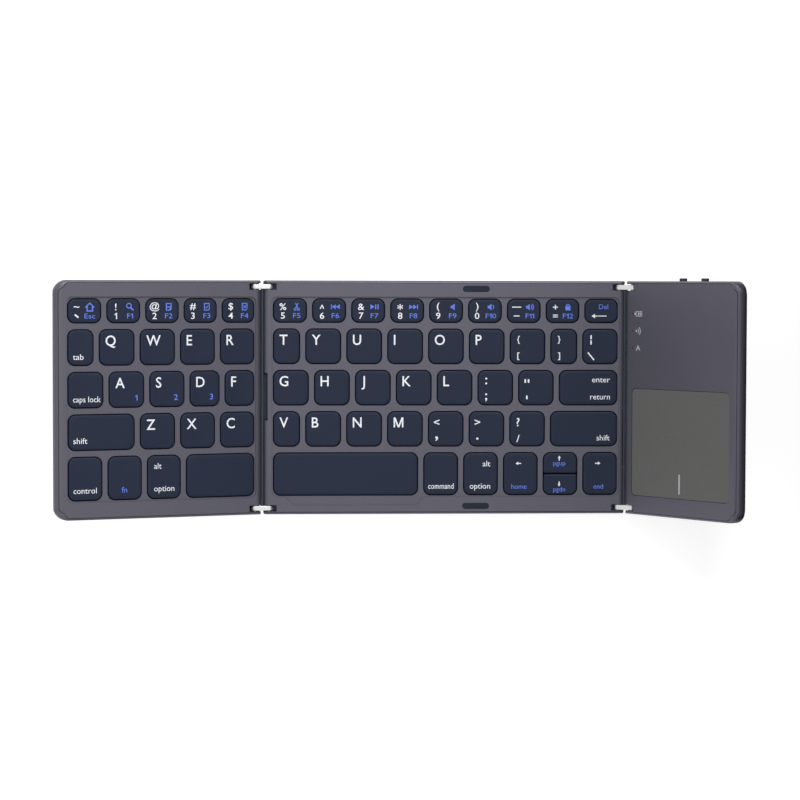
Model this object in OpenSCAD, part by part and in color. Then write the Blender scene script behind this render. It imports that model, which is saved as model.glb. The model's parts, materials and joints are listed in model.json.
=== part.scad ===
// Folding keyboard in three panels. The middle panel lies on the table, and a double hinge joins a
// side panel to each of its short ends. A side panel lies flat beside it or folds over its keys.
// Every panel is drawn lying flat, in the place that it has when the keyboard is open flat, and is
// then swung up about its two hinge axes to the tilt that it rests at.
// X runs to the right, Y to the rear and Z up. The heights here are above the middle panel's
// underside. The last lines lift everything by the height of the feet, so that the origin is on the
// table top, under the middle of the middle panel.

/* [Keys] */
// Width of a letter key's cap
key_w = 14.3; // [13:0.1:15.5]
// Depth of a letter key's cap, front to rear
key_d = 14.25; // [12:0.05:16]
// Depth of the caps in the number row
number_d = 9.55; // [8.5:0.05:12]
// Depth of the caps in the space bar's row
bottom_d = 17.5; // [16:0.1:19]
// Width of the narrow key at the outer end of the second row
tab_w = 10.25; // [9.5:0.05:12]
// Width of the two narrow keys in the middle panel's second row
split_w = 10.65; // [10:0.05:12]
// Width of the three small keys beside the left space bar
modifier_w = 13.75; // [12:0.05:15]
// Width of the five small keys beside the right space bar
arrow_w = 13.95; // [12:0.05:15]
// Gap between a cap and the frame round it
key_clear = 0.4; // [0.2:0.05:0.45]
// Width of the bar of frame between two keys side by side
web_w = 2.05; // [1.8:0.05:3]
// Width of the bar of frame between two rows
row_web = 2.25; // [1.8:0.05:3]
// Gap between the two half keys that share one hole
half_gap = 0.5; // [0.3:0.05:0.8]
// Corner radius of a cap
cap_r = 2.8; // [1.2:0.1:3]
// Height of a cap, skirt included
cap_h = 2.6; // [2.2:0.1:2.7]
// Thickness of a cap's top
cap_top = 1.2; // [0.8:0.1:1.3]
// Thickness of a cap's skirt
cap_wall = 0.9; // [0.6:0.05:1]
// Depth of the dish in a cap's top
dish = 0.25; // [0.1:0.05:0.4]

/* [Panels] */
// Thickness of each panel
panel_t = 7; // [6.9:0.1:8]
// Rim from the panel's rear edge to the first row of caps
rear_rim = 7.8; // [7.2:0.1:10]
// Rim from the space bar's row to the panel's front edge
front_rim = 8.15; // [7.9:0.05:11]
// Left panel: from the hinge gap's centre to the nearest cap
left_inner = 4.15; // [4.1:0.05:6]
// Left panel: from the outermost cap to the outer end
left_outer = 5.8; // [5.2:0.1:9]
// Middle panel: from the left gap's centre to the nearest cap
middle_left = 4.95; // [4.4:0.05:6]
// Middle panel: from the last cap to the right gap's centre
middle_right = 4.05; // [4.05:0.05:6]
// Space left between the outer ends of the two side panels when both are folded in
closing_gap = 0.4; // [0.3:0.1:2]
// Radius of the outer corners, seen from above
corner_r = 5.8; // [4:0.1:6]
// Radius of the corners beside the hinges
hinge_corner_r = 1; // [0.8:0.1:1.2]
// Radius of the rounded outer end
end_r = 3; // [2.8:0.1:3.2]
// How far in from the rounded end the underside starts to slope up
end_slope = 3.5; // [2.5:0.1:5]
// Radius of the top edge at front and rear
edge_r = 1.2; // [1:0.05:1.4]
// Radius of the bottom edge at front and rear
foot_edge_r = 1.6; // [1:0.1:2]
// Thickness of the bottom shell's floor
floor_t = 1; // [0.8:0.05:1.1]
// Thickness of the bottom shell's wall at front and rear
wall = 2; // [1.8:0.05:2.05]
// Thickness of the top frame
frame_t = 1.5; // [1.3:0.05:1.55]
// How far the keys' well lies below the rim
well_drop = 0.7; // [0.4:0.05:0.8]
// Well around the keys, beyond their holes
well_margin = 0.6; // [0.5:0.05:0.65]
// Radius of the well's corners
well_r = 2.6; // [1.5:0.1:3]
// Seam in from the front and rear edges
seam_edge = 0.85; // [0.7:0.05:0.9]
// Seam in from the outer end
seam_end = 1.6; // [1.4:0.05:1.8]
// Seam in from the rounded hinge side
seam_nose = 0.55; // [0.45:0.05:0.65]
// Width of the open seam between frame and shell
seam_gap = 0.2; // [0.06:0.02:0.2]

/* [Hinges] */
// Clear gap between two panels that lie flat
hinge_gap = 1.1; // [1.05:0.05:1.5]
// Radius of the rounded side that turns about each hinge axis
nose_r = 2.4; // [2.35:0.05:2.5]
// Tilt that the left panel rests at
left_tilt = 18; // [0:1:60]
// Tilt that the right panel rests at
right_tilt = 51.5; // [0:0.5:60]
// Radius of a hinge bar's round ends
bar_r = 1.8; // [1.6:0.05:1.9]
// Thickness of a hinge bar
bar_t = 1.95; // [1.6:0.05:2]
// Slot for the bar, in from the panel's edge
slot_inset = 1.25; // [1.2:0.05:1.4]
// Free space beside the bar in its slot
slot_side = 0.38; // [0.3:0.02:0.45]
// Length of the slot beyond its hinge axis
slot_reach = 3.2; // [2.6:0.1:3.2]
// Radius of the hinge pins
pin_r = 0.75; // [0.6:0.05:0.8]
// Running clearance round a hinge pin
pin_clear = 0.05; // [0.03:0.01:0.08]
// How far a pin reaches into the wall on each side of its slot
pin_grip = 0.75; // [0.5:0.05:0.8]
// Thickness of the spine that closes the gap
spine_t = 0.6; // [0.4:0.05:0.7]
// Width of the ribbon cable to the left panel
left_ribbon_w = 19.4; // [12:0.1:24]
// Width of the ribbon cable to the right panel
right_ribbon_w = 24.4; // [12:0.1:26]
// Depth of the left notch that the ribbon cable shows in
left_notch = 1.85; // [1.4:0.05:2]
// Depth of the right notch
right_notch = 1; // [0.8:0.05:2]
// Thickness of the ribbon cables
ribbon_t = 0.15; // [0.1:0.05:0.2]

/* [Touchpad] */
// Depth of the touchpad
touch_d = 44.8; // [38:0.1:46]
// From the hinge gap's centre to the touchpad
touch_inner = 5.2; // [5:0.1:5.4]
// From the touchpad to the panel's outer end
touch_outer = 5.4; // [5:0.1:8]
// From the panel's front edge to the touchpad
touch_front = 8.15; // [7.6:0.05:10]
// Gap round the touchpad
touch_clear = 0.12; // [0.08:0.02:0.2]
// Corner radius of the touchpad
touch_r = 2; // [1:0.1:3]
// How far the touchpad lies below its cover's face
touch_drop = 0.15; // [0.1:0.05:0.3]
// Thickness of the lip that holds the touchpad under its cover
lip_t = 0.6; // [0.5:0.05:0.7]
// Width of that lip
lip_w = 0.8; // [0.6:0.05:0.9]

/* [Fittings] */
// Length of the magnet pads in the middle panel's rim
pad_l = 11.2; // [8:0.1:14]
// Width of the magnet pads
pad_w = 2.5; // [1.8:0.1:2.8]
// Centre of the magnet pads, in from the panel's edge
pad_inset = 3.4; // [3.3:0.05:3.6]
// How far a magnet pad stands above the rim
pad_proud = 0.1; // [0.05:0.05:0.3]
// Radius of a foot
foot_r = 3; // [2:0.1:4]
// Radius of the larger foot under the middle of the keyboard
middle_foot_r = 5; // [3:0.1:8]
// Height of a foot
foot_h = 0.6; // [0.4:0.05:1]
// Radius of a screw's thread
screw_r = 0.7; // [0.6:0.05:0.8]
// Radius of a screw's head
head_r = 1.6; // [1.4:0.05:1.7]
// Screws in from the front and rear edges
screw_inset = 4.05; // [4:0.05:4.15]
// Radius of an indicator light pipe
pipe_r = 0.45; // [0.4:0.05:0.9]
// Distance between indicator lights
pipe_pitch = 7.15; // [5:0.05:7.5]
// Width of a slide switch's knob
knob_w = 3.2; // [3:0.05:4.5]
// How far a slide switch's knob stands out of the rear wall
knob_out = 1.2; // [0.4:0.05:1.3]
// Travel of a slide switch
knob_travel = 2; // [1:0.1:2.2]
// Width of the charging socket
socket_w = 8.9; // [7.5:0.1:9]
// Height of the charging socket
socket_h = 3.2; // [2.4:0.1:3.3]

/* [Inside] */
// Thickness of the plate under the keys
plate_t = 0.5; // [0.4:0.05:0.6]
// Thickness of the membrane on that plate
membrane_t = 0.3; // [0.2:0.05:0.4]
// Length of a key's scissor frame, from side to side
scissor_l = 8; // [7:0.1:8]
// Depth of the outer scissor frame under a key of full depth
scissor_most_d = 6.6; // [6:0.1:6.8]
// Width of a scissor frame's bars
scissor_bar = 0.6; // [0.5:0.05:0.7]
// Thickness of a scissor frame
scissor_t = 0.5; // [0.4:0.05:0.6]
// Radius of the stem under a cap
stem_r = 1.2; // [1:0.05:1.4]
// Length of that stem
stem_l = 1; // [0.8:0.05:1.2]
// Radius of the bosses that the screws are driven into
boss_r = 1.85; // [1.6:0.05:1.9]
// Screws of the middle panel in from its hinge gaps
middle_screw_end = 13.6; // [12:0.1:20]
// Distance of its inner screws from its middle
middle_screw_mid = 30; // [20:1:36]
// Screws of the left panel: from the hinge gap's centre to the first
left_screw_inner = 12; // [11:0.1:14]
// Screws of the left panel: from the last to the outer end
left_screw_outer = 14.8; // [12:0.1:18]
// Screws of the right panel: from the hinge gap's centre to the first
right_screw_inner = 10; // [9.8:0.1:12]
// Screws of the right panel: from the last to the outer end
right_screw_outer = 10.8; // [10.6:0.1:12]
// Thickness of the circuit board
board_t = 0.8; // [0.6:0.05:1]
// Depth of the circuit board
board_d = 24; // [23:0.5:26]
// Free height between the battery and the touchpad
battery_over = 0.9; // [0.6:0.1:1.2]
// Free space between the battery and the walls beside it
battery_side = 3.25; // [3.25:0.25:6]
// Width of the switch under the touchpad
click_w = 5; // [4:0.1:6]
// Height of that switch without its button
click_h = 1.2; // [1:0.1:1.4]
// From the panel's front edge to that switch
click_front = 13.95; // [13:0.05:16]
// Length of a magnet in a side panel
magnet_l = 3.5; // [3:0.1:4]
// Width of a magnet
magnet_w = 2; // [1.6:0.1:2.2]
// Thickness of a magnet
magnet_t = 1.1; // [0.8:0.1:1.4]

/* [Hidden] */
$fn = 48;
eps = 0.01;
past = 1; // how far a cutter or a crossing profile runs past a face
sink = 0.2; // how far a boss or a pillar is rooted in the plate that carries it

// Colours
rim_colour = "#68666E";
key_colour = "#2D3446";
touch_colour = "#606164";
pad_colour = "#2A2F40";
bar_colour = "#D9DADD";
dark_colour = "#1B1D24";
steel_colour = "#A9ACB2";
film_colour = "#C9C4B4";
dome_colour = "#E4E2DC";
scissor_colour = "#EDEDED";
board_colour = "#27553A";
battery_colour = "#B9BDC4";
pipe_colour = "#D8DEE8";

// Rows of caps: the space between two caps, and what the four wide keys have left
gap_x = web_w + 2 * key_clear;
gap_y = row_web + 2 * key_clear;
left_block = tab_w + 4 * key_w + 4 * gap_x;
middle_block = 2 * split_w + 7 * key_w + 8 * gap_x;
left_number_w = (left_block - 4 * gap_x) / 5;
middle_number_w = (middle_block - 8 * gap_x) / 9;
narrow_w = (left_block - 3 * key_w - 4 * gap_x) / 2;
left_shift_w = left_block - 3 * key_w - 3 * gap_x;
left_space_w = left_block - 3 * modifier_w - 3 * gap_x;
enter_w = middle_block - 7 * key_w - 7 * gap_x;
right_shift_w = middle_block - split_w - 6 * key_w - 7 * gap_x;
right_space_w = middle_block - 5 * arrow_w - 5 * gap_x;

// Cap widths, row by row from the rear. The left panel's rows run outward from its hinge.
left_rows = [
    [for (i = [0:4]) left_number_w],
    [key_w, key_w, key_w, key_w, tab_w],
    [narrow_w, narrow_w, key_w, key_w, key_w],
    [key_w, key_w, key_w, left_shift_w],
    [left_space_w, modifier_w, modifier_w, modifier_w]
];
middle_rows = [
    [for (i = [0:8]) middle_number_w],
    [split_w, key_w, key_w, key_w, key_w, key_w, key_w, split_w, key_w],
    [key_w, key_w, key_w, key_w, key_w, key_w, key_w, enter_w],
    [split_w, key_w, key_w, key_w, key_w, key_w, key_w, right_shift_w],
    [right_space_w, arrow_w, arrow_w, arrow_w, arrow_w, arrow_w]
];
row_depths = [number_d, key_d, key_d, key_d, bottom_d];
last_row = 4;
half_key = 4; // place in the middle panel's last row of the hole with two half keys
half_key_d = (bottom_d - half_gap) / 2;
half_key_y = (half_key_d + half_gap) / 2;
wide_key = 24; // caps from this width up are flat and have two scissors

// Overall sizes
panel_d = rear_rim + number_d + 3 * key_d + bottom_d + 4 * gap_y + front_rim;
middle_w = middle_left + middle_block + middle_right;
left_w = left_inner + left_block + left_outer;
right_w = middle_w - left_w - closing_gap;
half_d = panel_d / 2;
half_w = middle_w / 2;
middle_block_x = middle_left - half_w;

// Heights
key_drop = 0.1; // the caps' tops lie this far below the rim
rim_z = panel_t;
seam_z = rim_z - frame_t;
well_z = rim_z - well_drop;
axis_z = rim_z - nose_r;
key_top_z = rim_z - key_drop;
cap_under_z = key_top_z - cap_top;
stem_z = cap_under_z - stem_l;
membrane_z = floor_t + plate_t;
dome_z = membrane_z + membrane_t;

// Hinges: the nose is the rounded side, and its axis is this far from the gap's centre
nose_x = hinge_gap / 2;
pivot_x = nose_x + nose_r;
nose_wall = 0.8; // wall left behind the nose
cavity_x = pivot_x + nose_wall;
slot_w = bar_t + 2 * slot_side;
bar_y = half_d - slot_inset - slot_w / 2;
bar_clear = 0.2; // free space under the bar
slot_x = pivot_x + slot_reach;
block_wall = 1; // solid left round a slot
block_x = slot_x + block_wall;
block_d = slot_inset + slot_w + pin_grip + block_wall;

// Shells
shell_end = seam_end + 1;
cavity_r = corner_r - wall;
hinge_foot_r = 1; // rounding under the hinge side
end_spare = 0.2; // the plan shape runs on past the round end, so that only the profile cuts it
meet_angle = -66; // where the sloping underside meets the round end

// Screws and bosses
boss_z = floor_t + 0.6;
screw_pad_r = boss_r + 0.65;
shank_clear = 0.25;
head_clear = 0.15;
head_h = 0.8;
head_sunk = 0.1; // the head lies this far inside the underside
head_z = head_sunk + head_h;
recess_w = 0.4;
recess_d = 0.3;
recess_end = 0.5; // from the recess to the head's edge
thread_z = seam_z - 0.9;
left_screw_end = left_w - left_screw_outer;
left_screw_x = [left_screw_inner, (left_screw_inner + left_screw_end) / 2, left_screw_end];
middle_screw_x = [for (x = [half_w - middle_screw_end, middle_screw_mid]) each [-x, x]];
right_screw_x = [right_screw_inner, right_w - right_screw_outer];

// Feet, clear of the screws and of the sloping end
foot_bevel = 0.3;
foot_inset = screw_inset + head_r + head_clear + foot_r + 0.2;
foot_end = end_r + end_slope + foot_r + 1.5;

// Moving gear under a key
scissor_play = 0.15;
scissor_side = 0.45; // from the outer frame to the cap's skirt
scissor_slope = asin((cap_under_z - dome_z - 2 * scissor_play) / norm([scissor_l, scissor_t]))
    - atan2(scissor_t, scissor_l);
dome_wall = 0.3;
dome_play = 0.2;
dome_tip_r = 0.8;

// Plate and membrane under the keys
layer_inset = screw_inset + screw_pad_r + 0.45;
layer_side = 0.3;
layer_r = 1;

// Thumb scoop in front of the right space bar
scoop_side = 3.3; // how far its ends slant
scoop_d = 3.4;
scoop_inner = 4.8; // in from the space bar's inner end
scoop_outer = 2.8; // past the space bar's outer end
scoop_floor = 0.1; // above the well's floor

// Magnets and the pads over them, about where the folded side panels meet
pad_x = left_w - half_w + closing_gap / 2 + 0.7;
pad_t = 1.2;
pad_clear = 0.05;
magnet_end = shell_end + 1.2; // clear of the cavity's round corner
magnet_inset = wall + 1.4;

// Ribbon cables, in from the panel's rear edge
left_ribbon_rear = 38.9;
right_ribbon_rear = 53.8;
ribbon_slit = 0.6;
ribbon_in = 0.2; // from the nose's face to the cable
drop_x = cavity_x + 0.05;
notch_play = 0.25;
slit_play = 0.1;

// Touchpad
touch_w = right_w - touch_inner - touch_outer;
touch_y = touch_front - half_d;
touch_mid = touch_inner + touch_w / 2;
lip_z = seam_z - lip_t;
lip_front = 3; // the lip stops this far behind the touchpad's front edge
click_gap = 0.3;
click_button_h = 0.4;
click_button_r = 1;
click_base_z = lip_z - click_gap - click_button_h - click_h;
click_y = click_front - half_d;
click_pillar_r = click_w / 2 - 0.1;

// Circuit board and battery
board_z = floor_t + board_t;
board_side = 0.35;
board_rear = layer_inset;
board_front = board_rear + board_d;
tab_rear = wall + 0.3;
tab_clear = 0.3;
tab_x = [right_screw_x[0] + screw_pad_r + tab_clear, right_screw_x[1] - screw_pad_r - tab_clear];
battery_x = cavity_x + battery_side;
battery_w = right_w - shell_end - battery_side - battery_x;
battery_gap = 2; // to the circuit board
battery_y = click_y + click_w / 2 + 3.5;
battery_d = half_d - board_front - battery_gap - battery_y;
battery_h = lip_z - battery_over - floor_t;
battery_edge = 1.5; // the wrapped edges are this much narrower
battery_edge_h = 0.4;

// Indicator lights, slide switches and charging socket
pipe_x = 5.4;
pipe_y = 13.65;
pipe_clear = 0.03;
knob_pitch = 11.9;
knob_end = 23.7; // from the panel's outer end to the outer knob's inner edge
knob_x = [right_w - knob_end - knob_pitch, right_w - knob_end];
knob_h = 1.4;
knob_z = board_z + 1.4;
knob_clear = 0.2;
shoe_gap = 0.05;
switch_w = knob_w + knob_travel + 0.45;
switch_d = 3.5;
switch_h = 2.6;
socket_x = right_screw_x[0] + 8.5;
socket_l = 7.3;
socket_wall = 0.35;
socket_in = 0.6; // its mouth lies this far inside the rear wall's face
socket_clear = 0.15;
socket_r = socket_h / 2 - eps;
tongue_w = socket_w - 2.4;
tongue_t = 0.7;
tongue_in = 1;
socket_back = 0.5;

// ---- Rows of caps ----

function total(list, n) = n <= 0 ? 0 : list[n - 1] + total(list, n - 1);
function row_rear(r) = half_d - rear_rim - total(row_depths, r) - r * gap_y;
function row_centre(r) = row_rear(r) - row_depths[r] / 2;
function key_centre(row, i) = total(row, i) + i * gap_x + row[i] / 2;

// ---- Plan shapes, exact arcs at the corners ----

// Rectangle with corner radius ra at its low-x side and rb at its high-x side
module plate_shape(x0, x1, y0, y1, ra, rb) {
    translate([x0 + ra, y0]) square([x1 - x0 - ra - rb, y1 - y0]);
    translate([x0, y0 + ra]) square([x1 - x0 - rb, y1 - y0 - 2 * ra]);
    translate([x0 + ra, y0 + rb]) square([x1 - x0 - ra, y1 - y0 - 2 * rb]);
    for (y = [y0 + ra, y1 - ra]) translate([x0 + ra, y]) circle(ra);
    for (y = [y0 + rb, y1 - rb]) translate([x1 - rb, y]) circle(rb);
}

module round_plate(w, d, r) plate_shape(-w / 2, w / 2, -d / 2, d / 2, r, r);

// ---- Panel bodies ----

// Profile along X extruded from front to rear
module along_y() rotate([90, 0, 0]) linear_extrude(panel_d + 2 * past, center = true) children();

// Hinge side in profile: rounded about the axis above, a plain wall below
module nose_profile(to_x) {
    translate([pivot_x, axis_z]) circle(nose_r);
    translate([pivot_x, 0]) square([to_x - pivot_x, rim_z]);
    translate([nose_x, hinge_foot_r]) square([to_x - nose_x, axis_z - hinge_foot_r]);
    translate([nose_x + hinge_foot_r, 0]) square([to_x - nose_x - hinge_foot_r, axis_z]);
    translate([nose_x + hinge_foot_r, hinge_foot_r]) circle(hinge_foot_r);
}

// Outer end in profile: a round end, with the underside sloping up to meet it
module end_profile(from_x, end_x) {
    start = [end_x - end_r - end_slope, 0];
    centre = [end_x - end_r, rim_z - end_r];
    meet = centre + end_r * [cos(meet_angle), sin(meet_angle)];
    translate(centre) circle(end_r);
    polygon([[from_x, 0], start, meet, centre, [centre[0], rim_z], [from_x, rim_z]]);
}

// Front and rear edges in profile
module edge_profile() {
    translate([-half_d, foot_edge_r]) square([panel_d, panel_t - foot_edge_r - edge_r]);
    translate([edge_r - half_d, foot_edge_r]) square([panel_d - 2 * edge_r, panel_t - foot_edge_r]);
    translate([foot_edge_r - half_d, 0]) square([panel_d - 2 * foot_edge_r, panel_t - edge_r]);
    for (s = [-1, 1]) {
        translate([s * (half_d - edge_r), rim_z - edge_r]) circle(edge_r);
        translate([s * (half_d - foot_edge_r), foot_edge_r]) circle(foot_edge_r);
    }
}

// A side panel's whole outside, with its hinge at the low-x side
module side_slab(end_x) intersection() {
    linear_extrude(panel_t)
        plate_shape(nose_x, end_x + end_spare, -half_d, half_d, hinge_corner_r, corner_r);
    along_y() {
        nose_profile(end_x / 2);
        end_profile(end_x / 2 - past, end_x);
    }
    rotate([90, 0, 90]) linear_extrude(end_x + past) edge_profile();
}

module middle_slab() intersection() {
    linear_extrude(panel_t)
        plate_shape(nose_x - half_w, half_w - nose_x, -half_d, half_d, hinge_corner_r, hinge_corner_r);
    along_y() for (m = [0, 1]) mirror([m, 0]) translate([-half_w, 0]) nose_profile(half_w + past);
    translate([-half_w, 0, 0]) rotate([90, 0, 90]) linear_extrude(middle_w) edge_profile();
}

// Outline inside the seam, smaller by inset
module side_seam(end_x, inset) plate_shape(
    nose_x + seam_nose + inset, end_x - seam_end - inset,
    seam_edge + inset - half_d, half_d - seam_edge - inset,
    hinge_corner_r / 2, corner_r - seam_edge);

module middle_seam(inset) plate_shape(
    nose_x + seam_nose + inset - half_w, half_w - nose_x - seam_nose - inset,
    seam_edge + inset - half_d, half_d - seam_edge - inset,
    hinge_corner_r / 2, hinge_corner_r / 2);

// Slots at front and rear that the hinge bars turn in
module bar_slots() for (s = [-1, 1])
    translate([0, s * bar_y - slot_w / 2, axis_z - bar_r - bar_clear])
        cube([slot_x, slot_w, panel_t]);

// Solid corners that the slots and the pins' bores are cut in
module hinge_blocks() for (s = [-1, 1])
    translate([nose_x, s > 0 ? half_d - block_d : -half_d, 0]) cube([block_x - nose_x, block_d, seam_z]);

// A cylinder on a hinge axis through one slot and into the walls beside it
module on_pin_line(r) for (s = [-1, 1])
    translate([pivot_x, s * bar_y, axis_z]) rotate([90, 0, 0])
        cylinder(h = slot_w + 2 * pin_grip, r = r, center = true);

module side_cavity(end_x) difference() {
    translate([0, 0, floor_t]) linear_extrude(panel_t)
        plate_shape(cavity_x, end_x - shell_end, wall - half_d, half_d - wall, hinge_corner_r, cavity_r);
    hinge_blocks();
}

module middle_cavity() difference() {
    translate([0, 0, floor_t]) linear_extrude(panel_t)
        plate_shape(cavity_x - half_w, half_w - cavity_x, wall - half_d, half_d - wall,
                    hinge_corner_r, hinge_corner_r);
    both_ends() hinge_blocks();
}

// What is drawn at the left end of the middle panel is repeated at its right end
module both_ends() for (m = [0, 1]) mirror([m, 0, 0]) translate([-half_w, 0, 0]) children();

// ---- Screws ----

module at_screws(xs) for (x = xs, s = [-1, 1]) translate([x, s * (half_d - screw_inset), 0]) children();

module screw_pads(xs) at_screws(xs)
    translate([0, 0, floor_t - sink]) cylinder(h = boss_z - floor_t + sink, r = screw_pad_r);

module screw_holes(xs) at_screws(xs) {
    translate([0, 0, -eps]) cylinder(h = head_z + eps, r = head_r + head_clear);
    cylinder(h = boss_z + past, r = screw_r + shank_clear);
}

module bosses(xs) at_screws(xs) difference() {
    translate([0, 0, boss_z]) cylinder(h = seam_z - boss_z + sink, r = boss_r);
    cylinder(h = thread_z, r = screw_r);
}

module screws(xs) at_screws(xs) {
    difference() {
        translate([0, 0, head_sunk]) cylinder(h = head_h, r = head_r);
        for (a = [0, 90]) rotate(a)
            cube([2 * (head_r - recess_end), recess_w, 2 * (head_sunk + recess_d)], center = true);
    }
    translate([0, 0, head_z]) cylinder(h = thread_z - head_z, r = screw_r);
}

module foot(r) translate([0, 0, -foot_h]) {
    cylinder(h = foot_h / 2, r = r - foot_bevel);
    translate([0, 0, foot_h / 2]) cylinder(h = foot_h / 2, r = r);
}

module foot_pair(x) for (s = [-1, 1]) translate([x, s * (half_d - foot_inset), 0]) foot(foot_r);

// ---- Keys ----

// One cap, its top at z 0 and its middle at x and y 0. Wide caps are flat, the others dished.
module cap(w, d) difference() {
    translate([0, 0, -cap_h]) linear_extrude(cap_h) round_plate(w, d, cap_r);
    difference() {
        translate([0, 0, -cap_h - eps]) linear_extrude(cap_h - cap_top + eps)
            round_plate(w - 2 * cap_wall, d - 2 * cap_wall, cap_r - cap_wall);
        translate([0, 0, -cap_top - stem_l]) cylinder(h = stem_l + eps, r = stem_r);
    }
    if (w < wide_key) {
        dish_r = (w * w / 4 + dish * dish) / (2 * dish);
        translate([0, 0, dish_r - dish]) rotate([90, 0, 0])
            cylinder(h = d + 2 * past, r = dish_r, center = true, $fn = 240);
    }
}

// Caps numbered in list, of row r of a panel whose rows start at x0
module row_caps(rows, r, list, x0) for (i = list)
    translate([x0 + key_centre(rows[r], i), row_centre(r), key_top_z]) cap(rows[r][i], row_depths[r]);

// One of the two half keys: side is 1 for the rear one and -1 for the front one
module half_cap(side) translate([
    middle_block_x + key_centre(middle_rows[last_row], half_key),
    row_centre(last_row) + side * half_key_y, key_top_z])
    cap(arrow_w, half_key_d);

// Children are drawn at each cap's place, and find its size in $cap_w and $cap_d. With halved, the
// hole that two half keys share counts as two caps.
module at_keys(rows, x0, halved = false) for (r = [0:last_row], i = [0:len(rows[r]) - 1]) {
    shared = halved && i == half_key && r == last_row;
    $cap_w = rows[r][i];
    $cap_d = shared ? half_key_d : row_depths[r];
    for (side = shared ? [-1, 1] : [0])
        translate([x0 + key_centre(rows[r], i), row_centre(r) + side * half_key_y, 0]) children();
}

module key_holes(rows, x0) at_keys(rows, x0) translate([0, 0, seam_z - past]) linear_extrude(panel_t)
    round_plate($cap_w + 2 * key_clear, $cap_d + 2 * key_clear, cap_r + key_clear);

// The well that holds the caps, below the rim
module well(x0, x1) {
    margin = key_clear + well_margin;
    translate([0, 0, well_z]) linear_extrude(panel_t)
        plate_shape(x0 - margin, x1 + margin, front_rim - margin - half_d, half_d - rear_rim + margin,
                    well_r, well_r);
}

function scissor_d(d) = min(scissor_most_d, d - 2 * cap_wall - 2 * scissor_side);

module scissor_frame(d) difference() {
    cube([scissor_l, d, scissor_t], center = true);
    cube([scissor_l - 2 * scissor_bar, d - 2 * scissor_bar, scissor_t + past], center = true);
}

// Crossed frames under one cap, the inner one inside the outer one. A wide cap has two pairs.
module scissors(w, d) {
    outer_d = scissor_d(d);
    inner_d = outer_d - 2 * scissor_bar - 2 * scissor_play;
    for (side = w < wide_key ? [0] : [-1, 1])
        translate([side * w / 4, 0, (dome_z + cap_under_z) / 2]) {
            rotate([0, scissor_slope, 0]) scissor_frame(outer_d);
            rotate([0, -scissor_slope, 0]) scissor_frame(inner_d);
        }
}

// A hollow rubber dome that reaches from the membrane up to the cap's stem
module dome(d) {
    r = scissor_d(d) / 2 - 2 * scissor_bar - scissor_play - dome_play;
    h = stem_z - dome_z;
    translate([0, 0, dome_z]) difference() {
        cylinder(h = h, r1 = r, r2 = dome_tip_r);
        translate([0, 0, -eps])
            cylinder(h = h - 2 * dome_wall, r1 = r - dome_wall, r2 = dome_tip_r - dome_wall);
    }
}

// ---- Layers under the keys ----

module layer(x0, x1, z, t) translate([0, 0, z]) linear_extrude(t)
    plate_shape(x0, x1, layer_inset - half_d, half_d - layer_inset, layer_r, layer_r);

// ---- Swinging the side panels ----

module swing(x, a) translate([x, 0, axis_z]) rotate([0, -a, 0]) translate([-x, 0, -axis_z]) children();

// Side space starts at the gap's centre and runs outward. A link turns half as far as its panel.
module right_link() translate([half_w, 0, 0]) swing(-pivot_x, right_tilt / 2) children();
module right_side() right_link() swing(pivot_x, right_tilt / 2) children();
module left_link() mirror([1, 0, 0]) translate([half_w, 0, 0]) swing(-pivot_x, left_tilt / 2) children();
module left_side() left_link() swing(pivot_x, left_tilt / 2) children();

// ---- Middle panel ----

function ribbon_y(rear, w) = half_d - rear - w / 2;

// Notch in a rounded side, with a slit behind it that lets the ribbon cable in
module notch(rear, w, depth) translate([-half_w, ribbon_y(rear, w), 0]) {
    translate([nose_x - past, -w / 2 - notch_play, membrane_z])
        cube([depth + past, w + 2 * notch_play, panel_t]);
    translate([nose_x, -w / 2 - slit_play, axis_z - ribbon_slit / 2])
        cube([nose_r + nose_wall + past, w + 2 * slit_play, ribbon_slit]);
}

module notches() {
    notch(left_ribbon_rear, left_ribbon_w, left_notch);
    mirror([1, 0, 0]) notch(right_ribbon_rear, right_ribbon_w, right_notch);
}

// The cable runs in through the slit and down to the membrane
module ribbon_cable(rear, w) color(pad_colour) translate([-half_w, ribbon_y(rear, w) - w / 2, 0]) {
    start_x = nose_x + ribbon_in;
    translate([start_x, 0, axis_z - ribbon_t / 2]) cube([drop_x - start_x, w, ribbon_t]);
    translate([drop_x, 0, dome_z]) cube([ribbon_t, w, axis_z + ribbon_t / 2 - dome_z]);
}

module middle_bottom_shell() color(rim_colour) difference() {
    union() {
        difference() {
            middle_slab();
            middle_cavity();
        }
        screw_pads(middle_screw_x);
    }
    translate([0, 0, seam_z]) linear_extrude(panel_t) middle_seam(0);
    both_ends() {
        bar_slots();
        on_pin_line(pin_r + pin_clear);
    }
    notches();
    screw_holes(middle_screw_x);
}

module thumb_scoop() {
    x0 = middle_block_x + scoop_inner;
    x1 = middle_block_x + right_space_w + scoop_outer;
    y1 = front_rim - key_clear - well_margin - half_d + eps;
    y0 = y1 - scoop_d;
    translate([0, 0, well_z + scoop_floor]) linear_extrude(panel_t)
        polygon([[x0, y1], [x0 + scoop_side, y0], [x1 - scoop_side, y0], [x1, y1]]);
}

module pad_shape(grow) {
    r = pad_w / 2 + grow;
    square([pad_l - pad_w, 2 * r], center = true);
    for (s = [-1, 1]) translate([s * (pad_l - pad_w) / 2, 0]) circle(r);
}

// Pad's outline extruded up from the bottom of its pocket
module pads(grow, h) for (s = [-1, 1])
    translate([pad_x, s * (half_d - pad_inset), rim_z - pad_t]) linear_extrude(h) pad_shape(grow);

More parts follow.
